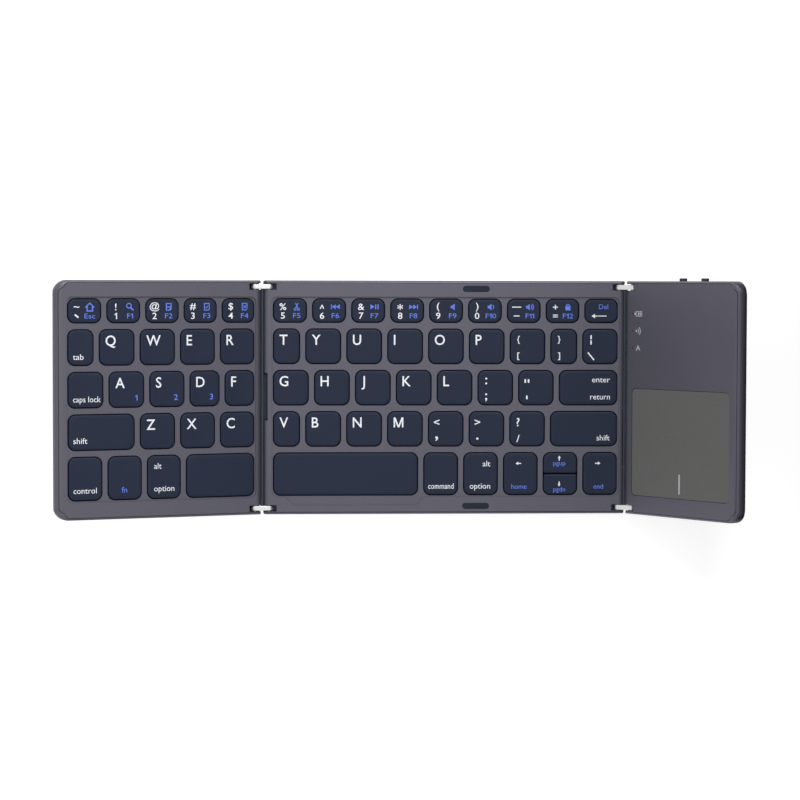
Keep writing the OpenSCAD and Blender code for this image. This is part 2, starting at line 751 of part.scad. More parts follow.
module middle_top_frame() color(rim_colour) difference() {
    union() {
        intersection() {
            middle_slab();
            translate([0, 0, seam_z]) linear_extrude(panel_t) middle_seam(seam_gap);
        }
        bosses(middle_screw_x);
    }
    well(middle_block_x, half_w - middle_right);
    thumb_scoop();
    key_holes(middle_rows, middle_block_x);
    both_ends() bar_slots();
    notches();
    pads(pad_clear, panel_t);
}

module magnet_pads() color(pad_colour) pads(0, pad_t + pad_proud);

module middle_switch_plate() color(steel_colour) {
    x = half_w - cavity_x - layer_side - ribbon_t;
    layer(-x, x, floor_t, plate_t);
}
module middle_membrane() color(film_colour) layer(drop_x - half_w, half_w - drop_x, membrane_z, membrane_t);
module middle_domes() color(dome_colour) at_keys(middle_rows, middle_block_x, true) dome($cap_d);
module middle_key_scissors() color(scissor_colour)
    at_keys(middle_rows, middle_block_x, true) scissors($cap_w, $cap_d);
module middle_feet() color(dark_colour) {
    for (m = [0, 1]) mirror([m, 0, 0]) foot_pair(half_w - foot_end);
    foot(middle_foot_r);
}
module middle_screws() color(steel_colour) screws(middle_screw_x);
module left_ribbon_cable() ribbon_cable(left_ribbon_rear, left_ribbon_w);
module right_ribbon_cable() mirror([1, 0, 0]) ribbon_cable(right_ribbon_rear, right_ribbon_w);

module middle_keys(r, list) color(key_colour) row_caps(middle_rows, r, list, middle_block_x);
module number_keys() middle_keys(0, [0:7]);
module backspace_key() middle_keys(0, [8]);
module upper_letter_keys() middle_keys(1, [0:8]);
module home_letter_keys() middle_keys(2, [0:6]);
module enter_key() middle_keys(2, [7]);
module lower_letter_keys() middle_keys(3, [0:6]);
module right_shift_key() middle_keys(3, [7]);
module right_space_key() middle_keys(last_row, [0]);
module right_modifier_keys() middle_keys(last_row, [1, 2]);
module side_arrow_keys() middle_keys(last_row, [3, 5]);
module up_arrow_key() color(key_colour) half_cap(1);
module down_arrow_key() color(key_colour) half_cap(-1);

// ---- Hinge links: two bars joined by a thin spine, turning on four pins ----

module hinge_bars() color(bar_colour) for (s = [-1, 1])
    translate([0, s * bar_y, axis_z]) rotate([90, 0, 0]) linear_extrude(bar_t, center = true)
        difference() {
            union() {
                square([2 * pivot_x, 2 * bar_r], center = true);
                for (e = [-1, 1]) translate([e * pivot_x, 0]) circle(bar_r);
            }
            for (e = [-1, 1]) translate([e * pivot_x, 0]) circle(pin_r);
        }

module hinge_pins() color(steel_colour) for (m = [0, 1]) mirror([m, 0, 0]) on_pin_line(pin_r);

module hinge_spine() color(dark_colour) {
    len = 2 * bar_y - bar_t;
    translate([-spine_t / 2, -len / 2, axis_z - bar_r]) cube([spine_t, len, 2 * bar_r]);
}

module left_hinge_bars() left_link() hinge_bars();
module left_hinge_pins() left_link() hinge_pins();
module left_hinge_spine() left_link() hinge_spine();
module right_hinge_bars() right_link() hinge_bars();
module right_hinge_pins() right_link() hinge_pins();
module right_hinge_spine() right_link() hinge_spine();

// ---- Left panel ----

module side_shell(end_x, xs) difference() {
    union() {
        difference() {
            side_slab(end_x);
            side_cavity(end_x);
        }
        screw_pads(xs);
    }
    translate([0, 0, seam_z]) linear_extrude(panel_t) side_seam(end_x, 0);
    bar_slots();
    on_pin_line(pin_r + pin_clear);
    screw_holes(xs);
}

module side_top(end_x, xs) difference() {
    union() {
        intersection() {
            side_slab(end_x);
            translate([0, 0, seam_z]) linear_extrude(panel_t) side_seam(end_x, seam_gap);
        }
        bosses(xs);
    }
    bar_slots();
}

module side_magnets(end_x) color(steel_colour) for (s = [-1, 1])
    translate([end_x - magnet_end - magnet_l, s * (half_d - magnet_inset - magnet_w / 2), seam_z - magnet_t])
        translate([0, -magnet_w / 2, 0]) cube([magnet_l, magnet_w, magnet_t]);

module left_bottom_shell() left_side() color(rim_colour) side_shell(left_w, left_screw_x);
module left_top_frame() left_side() color(rim_colour) difference() {
    side_top(left_w, left_screw_x);
    well(left_inner, left_inner + left_block);
    key_holes(left_rows, left_inner);
}
module left_layer(z, t) layer(cavity_x + layer_side, left_w - shell_end - layer_side, z, t);
module left_switch_plate() left_side() color(steel_colour) left_layer(floor_t, plate_t);
module left_membrane() left_side() color(film_colour) left_layer(membrane_z, membrane_t);
module left_domes() left_side() color(dome_colour) at_keys(left_rows, left_inner) dome($cap_d);
module left_key_scissors() left_side() color(scissor_colour)
    at_keys(left_rows, left_inner) scissors($cap_w, $cap_d);
module left_feet() left_side() color(dark_colour) foot_pair(left_w - foot_end);
module left_screws() left_side() color(steel_colour) screws(left_screw_x);
module left_magnets() left_side() side_magnets(left_w);

module left_keys(r, list) left_side() color(key_colour) row_caps(left_rows, r, list, left_inner);
module left_number_keys() left_keys(0, [0:4]);
module tab_key() left_keys(1, [4]);
module left_upper_keys() left_keys(1, [0:3]);
module caps_key() left_keys(2, [4]);
module left_home_keys() left_keys(2, [0:3]);
module left_shift_key() left_keys(3, [3]);
module left_lower_keys() left_keys(3, [0:2]);
module left_modifier_keys() left_keys(last_row, [1, 2, 3]);
module left_space_key() left_keys(last_row, [0]);

// ---- Right panel ----

module at_pipes() for (i = [0:2]) translate([pipe_x, half_d - pipe_y - i * pipe_pitch, 0]) children();

// Windows in the rear wall that the two knobs slide in
module knob_windows() for (x = knob_x)
    translate([x - knob_clear, half_d - wall - past, knob_z - knob_h / 2 - knob_clear])
        cube([knob_w + knob_travel + 2 * knob_clear, wall + 2 * past, knob_h + 2 * knob_clear]);

// Children are drawn along the charging socket's axis, which runs in from its mouth
module at_socket(y) translate([socket_x, y, board_z + socket_h / 2]) rotate([90, 0, 0]) children();

module right_bottom_shell() right_side() color(rim_colour) {
    difference() {
        side_shell(right_w, right_screw_x);
        knob_windows();
        at_socket(half_d + past) linear_extrude(wall + 2 * past)
            round_plate(socket_w + 2 * socket_clear, socket_h + 2 * socket_clear, socket_h / 2);
    }
    translate([touch_mid, click_y, floor_t - sink])
        cylinder(h = click_base_z - floor_t + sink, r = click_pillar_r);
}

module right_top_cover() right_side() color(rim_colour) difference() {
    side_top(right_w, right_screw_x);
    translate([0, 0, seam_z - past]) linear_extrude(panel_t) plate_shape(
        touch_inner - touch_clear, touch_inner + touch_w + touch_clear,
        touch_y - touch_clear, touch_y + touch_d + touch_clear, touch_r, touch_r);
    at_pipes() cylinder(h = panel_t + past, r = pipe_r + pipe_clear);
}

module touchpad() right_side() color(touch_colour) translate([0, 0, lip_z]) {
    linear_extrude(rim_z - touch_drop - lip_z)
        plate_shape(touch_inner, touch_inner + touch_w, touch_y, touch_y + touch_d, touch_r, touch_r);
    linear_extrude(lip_t) plate_shape(
        touch_inner - lip_w, touch_inner + touch_w + lip_w,
        touch_y + lip_front, touch_y + touch_d + lip_w, touch_r, touch_r);
}

// The touchpad's switch on its pillar, and the two slide switches on the circuit board
module switch_bodies() right_side() color(dark_colour) {
    translate([touch_mid, click_y, click_base_z]) {
        translate([0, 0, click_h / 2]) cube([click_w, click_w, click_h], center = true);
        cylinder(h = click_h + click_button_h, r = click_button_r);
    }
    for (x = knob_x)
        translate([x + (knob_w + knob_travel - switch_w) / 2, half_d - tab_rear - switch_d, board_z])
            cube([switch_w, switch_d, switch_h]);
}

module battery() right_side() color(battery_colour) translate([battery_x, battery_y, floor_t]) {
    translate([0, battery_edge, 0]) cube([battery_w, battery_d - 2 * battery_edge, battery_h]);
    translate([battery_edge, 0, battery_edge_h])
        cube([battery_w - 2 * battery_edge, battery_d, battery_h - 2 * battery_edge_h]);
}

module main_board() right_side() color(board_colour) translate([0, 0, floor_t]) linear_extrude(board_t) {
    translate([cavity_x + board_side, half_d - board_front])
        square([right_w - shell_end - cavity_x - 2 * board_side, board_d]);
    translate([tab_x[0], half_d - board_rear - eps])
        square([tab_x[1] - tab_x[0], board_rear - tab_rear + eps]);
}

module charging_socket() right_side() color(bar_colour) at_socket(half_d - socket_in) {
    linear_extrude(socket_l) difference() {
        round_plate(socket_w, socket_h, socket_r);
        round_plate(socket_w - 2 * socket_wall, socket_h - 2 * socket_wall, socket_r - socket_wall);
    }
    translate([0, 0, tongue_in]) linear_extrude(socket_l - tongue_in)
        square([tongue_w, tongue_t], center = true);
    translate([0, 0, socket_l - socket_back]) linear_extrude(socket_back)
        round_plate(socket_w, socket_h, socket_r);
}

module indicator_light_pipes() right_side() color(pipe_colour)
    at_pipes() translate([0, 0, board_z]) cylinder(h = rim_z - board_z, r = pipe_r);

// A knob's shoe runs on its switch's face, behind the wall
module slider(x) right_side() color(dark_colour)
    translate([x, half_d - tab_rear + shoe_gap, knob_z - knob_h / 2])
        cube([knob_w, tab_rear + knob_out - shoe_gap, knob_h]);
module power_slider() slider(knob_x[0]);
module mode_slider() slider(knob_x[1]);

module right_feet() right_side() color(dark_colour) foot_pair(right_w - foot_end);
module right_screws() right_side() color(steel_colour) screws(right_screw_x);
module right_magnets() right_side() side_magnets(right_w);

// The feet stand on z = 0
translate([0, 0, foot_h]) {
    middle_bottom_shell();
    middle_top_frame();
    middle_switch_plate();
    middle_membrane();
    middle_domes();
    middle_key_scissors();
    middle_feet();
    middle_screws();
    magnet_pads();
    left_ribbon_cable();
    right_ribbon_cable();
    number_keys();
    backspace_key();
    upper_letter_keys();
    home_letter_keys();
    enter_key();
    lower_letter_keys();
    right_shift_key();
    right_space_key();
    right_modifier_keys();
    side_arrow_keys();
    up_arrow_key();
    down_arrow_key();
    left_hinge_bars();
    left_hinge_pins();
    left_hinge_spine();
    right_hinge_bars();
    right_hinge_pins();
    right_hinge_spine();
    left_bottom_shell();
    left_top_frame();
    left_switch_plate();
    left_membrane();
    left_domes();
    left_key_scissors();
    left_feet();
    left_screws();
    left_magnets();
    left_number_keys();
    tab_key();
    left_upper_keys();
    caps_key();
    left_home_keys();
    left_shift_key();
    left_lower_keys();
    left_modifier_keys();
    left_space_key();
    right_bottom_shell();
    right_top_cover();
    touchpad();
    switch_bodies();
    battery();
    main_board();
    charging_socket();
    indicator_light_pipes();
    power_slider();
    mode_slider();
    right_feet();
    right_screws();
    right_magnets();
}
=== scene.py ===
# %% [markdown]
# # A folding keyboard
# The keyboard has three panels. The middle one lies on the table, and the other two swing up on
# double hinges. Its solids, hinges and springs come from the frame, which is loaded first and is
# never moved. Blender then adds what the eye wants: soft edges, dished caps, printed marks, and
# finishes for paint, plastic, rubber and metal.

# %% Load the frame and keep its box
import json
import math

import bmesh
import bpy
from mathutils import Matrix, Vector

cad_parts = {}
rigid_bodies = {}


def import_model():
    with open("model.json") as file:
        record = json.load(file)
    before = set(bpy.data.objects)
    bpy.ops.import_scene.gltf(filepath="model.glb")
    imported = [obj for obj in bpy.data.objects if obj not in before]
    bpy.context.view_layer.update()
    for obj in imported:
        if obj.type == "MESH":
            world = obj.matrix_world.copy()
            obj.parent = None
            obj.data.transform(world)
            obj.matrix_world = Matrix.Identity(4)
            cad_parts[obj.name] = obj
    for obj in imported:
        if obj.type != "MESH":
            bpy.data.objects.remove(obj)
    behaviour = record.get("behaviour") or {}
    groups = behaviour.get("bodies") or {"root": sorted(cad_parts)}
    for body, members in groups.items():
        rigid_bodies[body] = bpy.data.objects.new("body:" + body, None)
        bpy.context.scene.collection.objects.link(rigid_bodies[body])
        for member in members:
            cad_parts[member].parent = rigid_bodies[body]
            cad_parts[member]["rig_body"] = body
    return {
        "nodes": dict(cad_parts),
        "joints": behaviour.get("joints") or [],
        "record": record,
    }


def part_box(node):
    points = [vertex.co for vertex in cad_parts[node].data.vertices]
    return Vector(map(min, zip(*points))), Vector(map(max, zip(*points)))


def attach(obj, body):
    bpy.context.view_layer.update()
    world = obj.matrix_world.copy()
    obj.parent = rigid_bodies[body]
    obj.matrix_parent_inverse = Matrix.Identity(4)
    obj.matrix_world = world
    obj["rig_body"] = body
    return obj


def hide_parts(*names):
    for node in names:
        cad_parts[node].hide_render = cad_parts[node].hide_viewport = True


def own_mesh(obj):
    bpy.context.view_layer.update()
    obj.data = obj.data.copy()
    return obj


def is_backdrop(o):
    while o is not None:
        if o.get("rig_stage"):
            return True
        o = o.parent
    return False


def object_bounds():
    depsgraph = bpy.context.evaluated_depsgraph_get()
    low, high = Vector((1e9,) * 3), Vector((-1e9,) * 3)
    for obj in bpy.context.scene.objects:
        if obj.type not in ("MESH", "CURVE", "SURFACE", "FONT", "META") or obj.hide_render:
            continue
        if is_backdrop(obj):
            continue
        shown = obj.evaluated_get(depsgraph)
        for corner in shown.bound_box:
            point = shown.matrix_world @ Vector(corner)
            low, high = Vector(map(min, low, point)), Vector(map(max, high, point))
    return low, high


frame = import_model()
nodes = frame["nodes"]
MM = 0.001
cad_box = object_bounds()
print("loaded", len(nodes), "solids, box in mm", [[round(x / MM, 1) for x in c] for c in cad_box])

# %% [markdown]
# ## The camera
# The picture is taken from a metre above the keyboard, almost straight down. A lens of 112 mm
# keeps the three panels nearly free of perspective, so the keys look equally wide from end to end.
# The turn is one rotation about a leaning axis, which is easier to fit than three angles.

# %% Camera
def stand(name, data):
    """Puts a mesh, a lamp or a lens into the scene."""
    made = bpy.data.objects.new(name, data)
    bpy.context.scene.collection.objects.link(made)
    return made


lens_place = Vector((-77.6, 48.9, 1043.5)) * MM
lens_turn = Vector((-0.0481, -0.0566, 0.001))
lens = bpy.data.cameras.new("lens")
lens.lens = 111.6
lens.clip_start = 0.05
lens.clip_end = 30
camera = stand("camera", lens)
camera.matrix_world = Matrix.Translation(lens_place) @ Matrix.Rotation(lens_turn.length, 4, lens_turn)
bpy.context.scene.camera = camera
print("camera tipped by", round(math.degrees(lens_turn.length), 1), "degrees")

# %% [markdown]
# ## Helpers for finishes
# Colours are written as a designer reads them off a swatch, in sRGB hex. The renderer adds up
# light, so one function turns them to linear values. A second one adds a shader node with its
# settings and links, and sets both ends where the node is a colour ramp. A third empties a new
# material, and a fourth puts one Principled shader in it. Patterns are given by the size of their
# grain in millimetres, and every piece keeps its place in the frame, so that the grain has the
# same size on all of them.

# %% Colour, nodes and materials
def linear(code):
    """The linear colour of an sRGB hex code."""
    parts = [int(code[i : i + 2], 16) / 255 for i in (1, 3, 5)]
    return [p / 12.92 if p <= 0.04045 else ((p + 0.055) / 1.055) ** 2.4 for p in parts] + [1.0]


def add(tree, kind, inputs=None, stops=(), **settings):
    """Adds a node. An input is a value, or a socket to link from. Stops are a ramp's two ends."""
    node = tree.nodes.new(kind)
    for name, value in settings.items():
        setattr(node, name, value)
    for k, (position, code) in enumerate(stops):
        node.color_ramp.elements[k].position = position
        node.color_ramp.elements[k].color = linear(code)
    for name, value in (inputs or {}).items():
        if isinstance(value, bpy.types.NodeSocket):
            tree.links.new(value, node.inputs[name])
        else:
            node.inputs[name].default_value = value
    return node


def blank(name):
    """A material without nodes, and its tree."""
    material = bpy.data.materials.new(name)
    material.use_nodes = True
    material.node_tree.nodes.clear()
    return material, material.node_tree


def start(name, **values):
    """A material with one Principled shader, and the place on the piece for its patterns."""
    material, tree = blank(name)
    inputs = {key.replace("_", " "): value for key, value in values.items()}
    shader = add(tree, "ShaderNodeBsdfPrincipled", inputs)
    add(tree, "ShaderNodeOutputMaterial", {"Surface": shader.outputs[0]})
    place = add(tree, "ShaderNodeTexCoord").outputs["Object"]
    return material, tree, shader, place


def grain(size):
    """The scale of a pattern whose features are this many millimetres across."""
    return 1 / (size * MM)


print("white is", linear("#FFFFFF"), "and mid grey", [round(x, 3) for x in linear("#808080")])

# %% [markdown]
# ## Gunmetal paint
# The two key frames, the touchpad's cover and the three bottom shells are moulded ABS with a
# sprayed metallic paint. Fine aluminium flakes in a grey lacquer give it a satin glow that is
# brightest where a face looks towards the light, and falls off fast where it turns away. The flakes
# are near 0.03 mm, too fine for the picture, so they are drawn at 0.2 mm and kept faint. A broad,
# weak cloudiness stands for the uneven coat.

# %% Gunmetal paint on ABS
gunmetal, tree, shader, place = start(
    "gunmetal_paint_on_abs", Metallic=0.6, IOR=1.5, Specular_IOR_Level=0.3
)
flakes = add(tree, "ShaderNodeTexNoise", {"Vector": place, "Scale": grain(0.2), "Detail": 3.0})
clouds = add(tree, "ShaderNodeTexNoise", {"Vector": place, "Scale": grain(22), "Detail": 2.0})
faint = add(tree, "ShaderNodeMapRange", {"Value": clouds.outputs["Fac"], "To Min": 0.42, "To Max": 0.58})
coat = add(
    tree,
    "ShaderNodeMath",
    {0: flakes.outputs["Fac"], 1: faint.outputs["Result"]},
    operation="MULTIPLY",
)
greys = ((0.12, "#5F5E69"), (0.42, "#706F7B"))
lacquer = add(tree, "ShaderNodeValToRGB", {"Fac": coat.outputs[0]}, greys)
satin = add(
    tree,
    "ShaderNodeMapRange",
    {"Value": flakes.outputs["Fac"], "To Min": 0.4, "To Max": 0.52},
)
orange_peel = add(
    tree,
    "ShaderNodeBump",
    {"Height": flakes.outputs["Fac"], "Strength": 0.25, "Distance": 0.02 * MM},
)
tree.links.new(lacquer.outputs["Color"], shader.inputs["Base Color"])
tree.links.new(satin.outputs["Result"], shader.inputs["Roughness"])
tree.links.new(orange_peel.outputs["Normal"], shader.inputs["Normal"])
print("made", gunmetal.name)

# %% [markdown]
# ## Key plastic
# The caps are moulded ABS, dyed a blue black. The mould is spark eroded, so the caps have a fine
# grain that takes the shine off and feels dry. Real grain is about 0.1 mm across. Here it is
# 0.25 mm, so that it still shows as a faint speckle.

# %% Spark-eroded ABS
cap_abs, tree, shader, place = start("spark_eroded_abs", IOR=1.5, Specular_IOR_Level=0.22)
pits = add(tree, "ShaderNodeTexNoise", {"Vector": place, "Scale": grain(0.25), "Detail": 2.0})
blue_blacks = ((0.3, "#1D2437"), (0.7, "#242C42"))
dye = add(tree, "ShaderNodeValToRGB", {"Fac": pits.outputs["Fac"]}, blue_blacks)
dry = add(tree, "ShaderNodeMapRange", {"Value": pits.outputs["Fac"], "To Min": 0.48, "To Max": 0.62})
eroded = add(
    tree, "ShaderNodeBump", {"Height": pits.outputs["Fac"], "Strength": 0.35, "Distance": 0.03 * MM}
)
tree.links.new(dye.outputs["Color"], shader.inputs["Base Color"])
tree.links.new(dry.outputs["Result"], shader.inputs["Roughness"])
tree.links.new(eroded.outputs["Normal"], shader.inputs["Normal"])
print("made", cap_abs.name)

# %% [markdown]
# ## Printing inks
# The marks on the caps are pad printed: a soft pad lifts ink from an etched plate and lays it on
# the cap, a few hundredths of a millimetre thick. One ink is white, one is blue for what a key does
# together with fn. The labels beside the lights are a thinner grey print. All are silky, and a
# little uneven where the ink lies thin.

# %% White, blue and grey pad-printing ink
inks = {}
for colour, thin, full in (
    ("white", "#DDE0E8", "#F6F8FC"),
    ("blue", "#4E6CD6", "#6584F0"),
    ("grey", "#A4A4AC", "#BFC0C8"),
):
    inks[colour], tree, shader, place = start(colour + "_pad_printing_ink", IOR=1.48, Roughness=0.45)
    film = add(tree, "ShaderNodeTexNoise", {"Vector": place, "Scale": grain(0.5), "Detail": 2.0})
    cover = add(tree, "ShaderNodeValToRGB", {"Fac": film.outputs["Fac"]}, ((0.3, thin), (0.55, full)))
    tree.links.new(cover.outputs["Color"], shader.inputs["Base Color"])
print("made", ", ".join(ink.name for ink in inks.values()))

# %% [markdown]
# ## The touchpad's sheet
# A touchpad is covered by a sheet of polyester with a matt hard coat, so that a finger slides and
# doesn't stick. It looks like slate: a neutral grey with a very fine speckle and hardly any shine.

# %% Hard-coated polyester
touch_film, tree, shader, place = start("hard_coated_polyester", IOR=1.57, Specular_IOR_Level=0.35)
speckle = add(tree, "ShaderNodeTexNoise", {"Vector": place, "Scale": grain(0.3), "Detail": 3.0})
slate_greys = ((0.3, "#5A5A59"), (0.7, "#6A6A69"))
slate = add(tree, "ShaderNodeValToRGB", {"Fac": speckle.outputs["Fac"]}, slate_greys)
matt = add(tree, "ShaderNodeMapRange", {"Value": speckle.outputs["Fac"], "To Min": 0.5, "To Max": 0.65})
tooth = add(
    tree, "ShaderNodeBump", {"Height": speckle.outputs["Fac"], "Strength": 0.2, "Distance": 0.02 * MM}
)
tree.links.new(slate.outputs["Color"], shader.inputs["Base Color"])
tree.links.new(matt.outputs["Result"], shader.inputs["Roughness"])
tree.links.new(tooth.outputs["Normal"], shader.inputs["Normal"])
print("made", touch_film.name)

# %% [markdown]
# ## The plainer plastics and rubbers
# These differ in colour, in shine and in the size of their grain, so a table holds what each of
# them is, and one loop builds them. Acrylic is the glossiest, polyimide film and acetal shine a
# little, and polycarbonate and nylon are softer in their shine here. Rubber is dull, and its pale
# silicone kin lets some light in.

# %% Plastics, rubbers and films
plain = {
    # name: the two ends of its colour, roughness, grain in mm, bump in mm, subsurface
    "polished_polycarbonate": ("#171F30", "#1D2638", 0.5, 0.8, 0.004, 0.0),
    "polyimide_ribbon_film": ("#262D3A", "#303847", 0.38, 1.5, 0.004, 0.0),
    "black_glass_filled_nylon": ("#2C333F", "#3B4350", 0.5, 0.3, 0.012, 0.0),
    "moulded_rubber": ("#17181B", "#202225", 0.78, 0.4, 0.02, 0.0),
    "silicone_rubber": ("#D5D2C8", "#E6E3DB", 0.5, 0.9, 0.006, 0.25),
    "white_acetal": ("#DEDEDC", "#EFEFED", 0.36, 0.6, 0.006, 0.1),
    "black_printed_polyester": ("#1C1F24", "#272A30", 0.4, 1.2, 0.004, 0.0),
    "clear_acrylic_light_pipe": ("#3A3D46", "#4A4E58", 0.2, 1.0, 0.002, 0.0),
}
plastics = {}
for name, (dark, light, shine, size, depth, soft) in plain.items():
    plastics[name], tree, shader, place = start(
        name,
        IOR=1.5,
        Specular_IOR_Level=0.25,
        Roughness=shine,
        Subsurface_Weight=soft,
        Subsurface_Scale=0.5 * MM,
    )
    skin = add(tree, "ShaderNodeTexNoise", {"Vector": place, "Scale": grain(size), "Detail": 3.0})
    tint = add(tree, "ShaderNodeValToRGB", {"Fac": skin.outputs["Fac"]}, ((0.3, dark), (0.7, light)))
    relief = add(
        tree, "ShaderNodeBump", {"Height": skin.outputs["Fac"], "Strength": 0.3, "Distance": depth * MM}
    )
    tree.links.new(tint.outputs["Color"], shader.inputs["Base Color"])
    tree.links.new(relief.outputs["Normal"], shader.inputs["Normal"])
print("made", len(plastics), "plastics and rubbers")

# %% [markdown]
# ## Metals
# The hinge bars are die cast zinc with a bright satin nickel plate, the pins and screws are drawn
# steel, and the plates under the keys are rolled aluminium. The foil pouch of the battery is
# aluminium too, behind clear nylon. A metal has no colour of its own but that of its reflections,
# so metallic is 1 and the finish is in the roughness. Rolling and drawing leave fine lines along
# the metal: noise that is stretched twentyfold along Y.

# %% Plated, drawn and rolled metals
metals = {}
for name, tone, smooth, rough, size in (
    ("satin_nickel_plate", "#FAFAFA", 0.4, 0.55, 0.3),
    ("drawn_steel", "#B4B7BD", 0.25, 0.4, 0.2),
    ("rolled_aluminium", "#C9CBCF", 0.35, 0.5, 0.25),
    ("laminated_foil", "#BFC3CA", 0.2, 0.45, 1.2),
):
    metals[name], tree, shader, place = start(name, Base_Color=linear(tone), Metallic=1.0)
    along = add(tree, "ShaderNodeMapping", {"Vector": place, "Scale": (1.0, 0.05, 1.0)})
    lines = add(
        tree, "ShaderNodeTexNoise", {"Vector": along.outputs[0], "Scale": grain(size), "Detail": 4.0}
    )
    polish = add(
        tree, "ShaderNodeMapRange", {"Value": lines.outputs["Fac"], "To Min": smooth, "To Max": rough}
    )
    scratches = add(
        tree, "ShaderNodeBump", {"Height": lines.outputs["Fac"], "Strength": 0.15, "Distance": 0.01 * MM}
    )
    tree.links.new(polish.outputs["Result"], shader.inputs["Roughness"])
    tree.links.new(scratches.outputs["Normal"], shader.inputs["Normal"])
print("made", ", ".join(metals))

# %% [markdown]
# ## Solder mask
# The circuit board is glass cloth in epoxy under a green lacquer. Copper tracks show through as
# paler lines, here on a grid of 2.54 mm cells with uneven edges.

# %% Solder mask over copper
solder_mask, tree, shader, place = start("solder_mask_on_glass_epoxy", IOR=1.5, Roughness=0.3)
cells = add(
    tree,
    "ShaderNodeTexVoronoi",
    {"Vector": place, "Scale": grain(2.54), "Randomness": 0.6},
    feature="DISTANCE_TO_EDGE",
    distance="EUCLIDEAN",
)
greens = ((0.05, "#3D7A58"), (0.09, "#1F4D35"))
tracks = add(tree, "ShaderNodeValToRGB", {"Fac": cells.outputs["Distance"]}, greens)
copper = add(
    tree, "ShaderNodeBump", {"Height": tracks.outputs["Color"], "Strength": 0.3, "Distance": 0.03 * MM}
)
tree.links.new(tracks.outputs["Color"], shader.inputs["Base Color"])
tree.links.new(copper.outputs["Normal"], shader.inputs["Normal"])
print("made", solder_mask.name)

# %% [markdown]
# ## Every solid gets its finish
# The frame's record says which finish each solid belongs to, by a slot name. One table joins those
# names to the materials above, so that no solid is left bare.

# %% Finishes by slot
finish_of = {
    "gunmetal_shell": gunmetal,
    "key_plastic": cap_abs,
    "touch_sheet": touch_film,
    "pad_plastic": plastics["polished_polycarbonate"],
    "ribbon_film": plastics["polyimide_ribbon_film"],
    "dark_plastic": plastics["black_glass_filled_nylon"],
    "foot_rubber": plastics["moulded_rubber"],
    "dome_rubber": plastics["silicone_rubber"],
    "scissor_plastic": plastics["white_acetal"],
    "membrane_film": plastics["black_printed_polyester"],
    "bar_metal": metals["satin_nickel_plate"],
    "steel": metals["drawn_steel"],
    "plate_alloy": metals["rolled_aluminium"],
    "battery_foil": metals["laminated_foil"],
    "board_laminate": solder_mask,
    "light_pipe": plastics["clear_acrylic_light_pipe"],
}
slot_of = {part["node"]: part["material_slot"] for part in frame["record"]["subparts"]}
body_of = {node: node_object["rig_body"] for node, node_object in nodes.items()}
for node, node_object in nodes.items():
    node_object.data.materials.clear()
    node_object.data.materials.append(finish_of[slot_of[node]])
print("finished", len(nodes), "solids with", len(finish_of), "materials")

# %% [markdown]
# ## Panel space
# The side panels are tilted, but their keys are laid out square to their own panel. So a key is
# measured and built in panel space, in millimetres: x along the panel, y to the rear and z out of
# the keys. The keys' press axis gives z, and the rest follows from it.

# %% Panel space
press = {j["child"]: -Vector(j["axis"]) for j in frame["joints"] if j["name"].endswith("_press")}


def axes_at(up):
    """The matrix from the frame to the space of the panel whose outward normal is up."""
    rear = Vector((0, 1, 0))
    return Matrix((rear.cross(up), rear, up))


touchpad_up = Vector((-0.78260816, 0, 0.62251464))  # tilted by 51.5 degrees; it has no key's axis
weld = 1e-6  # metres; corners closer than this are one
panel_axes = {
    "middle_panel": axes_at(press["enter_key"]),
    "left_panel": axes_at(press["tab_key"]),
    "right_panel": axes_at(touchpad_up),
}
panel_of = {body: "left_panel" if up.x > 0.1 else "middle_panel" for body, up in press.items()}


def islands(node, axes):
    """The closed lumps of a solid, each as (corners in panel space, faces)."""
    mesh = bmesh.new()
    mesh.from_mesh(nodes[node].data)
    bmesh.ops.remove_doubles(mesh, verts=mesh.verts, dist=weld)
    found, seen = [], set()
    for first in mesh.verts:
        if first in seen:
            continue
        seen.add(first)
        lump = [first]
        for vert in lump:
            for edge in vert.link_edges:
                other = edge.other_vert(vert)
                if other not in seen:
                    seen.add(other)
                    lump.append(other)
        number = {vert: i for i, vert in enumerate(lump)}
        corners = [axes @ vert.co / MM for vert in lump]
        faces = {face for vert in lump for face in vert.link_faces}
        order = sorted(faces, key=lambda face: face.index)
        found.append((corners, [[number[v] for v in face.verts] for face in order]))
    mesh.free()
    return found


def span(corners):
    """Lowest and highest corner of a lump."""
    low = Vector([min(c[k] for c in corners) for k in range(3)])
    high = Vector([max(c[k] for c in corners) for k in range(3)])
    return low, high


cap_boxes = {
    body: sorted((span(c) for c, f in islands(body, panel_axes[panel_of[body]])), key=lambda b: b[0].x)
    for body in press
}
print("measured", sum(len(boxes) for boxes in cap_boxes.values()), "caps on", len(press), "key bodies")

# %% [markdown]
# ## From corners and faces to a piece
# Everything below is made as lists of corners and faces in panel space. This helper turns them
# into an object in the frame, gives it a finish, and lets it ride on the body that carries it.

# %% A piece from corners and faces
def piece(name, corners, faces, body, axes, material, smooth=40):
    """Makes the object and lets it ride on its body."""
    mesh = bpy.data.meshes.new(name)
    back = axes.transposed()
    mesh.from_pydata([back @ Vector(c) * MM for c in corners], [], faces)
    mesh.polygons.foreach_set("use_smooth", [True] * len(mesh.polygons))
    mesh.set_sharp_from_angle(angle=math.radians(smooth))
    mesh.materials.append(material)
    made = stand(name, mesh)
    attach(made, body)
    return made


# %% [markdown]
# ## The caps
# A cap is a shallow tray, upside down, with a stem in the middle. Its top edge is rounded by about
# 0.5 mm, which draws the thin bright line round every key. The top is a little hollow, so that the
# finger finds its middle; the space bars and the other wide caps are flat. A box with a bevel would
# give the round edge but not the hollow. So each cap is a stack of rings, from the skirt over the
# edge to the middle of the top, and from the skirt's foot up the inside to the stem.

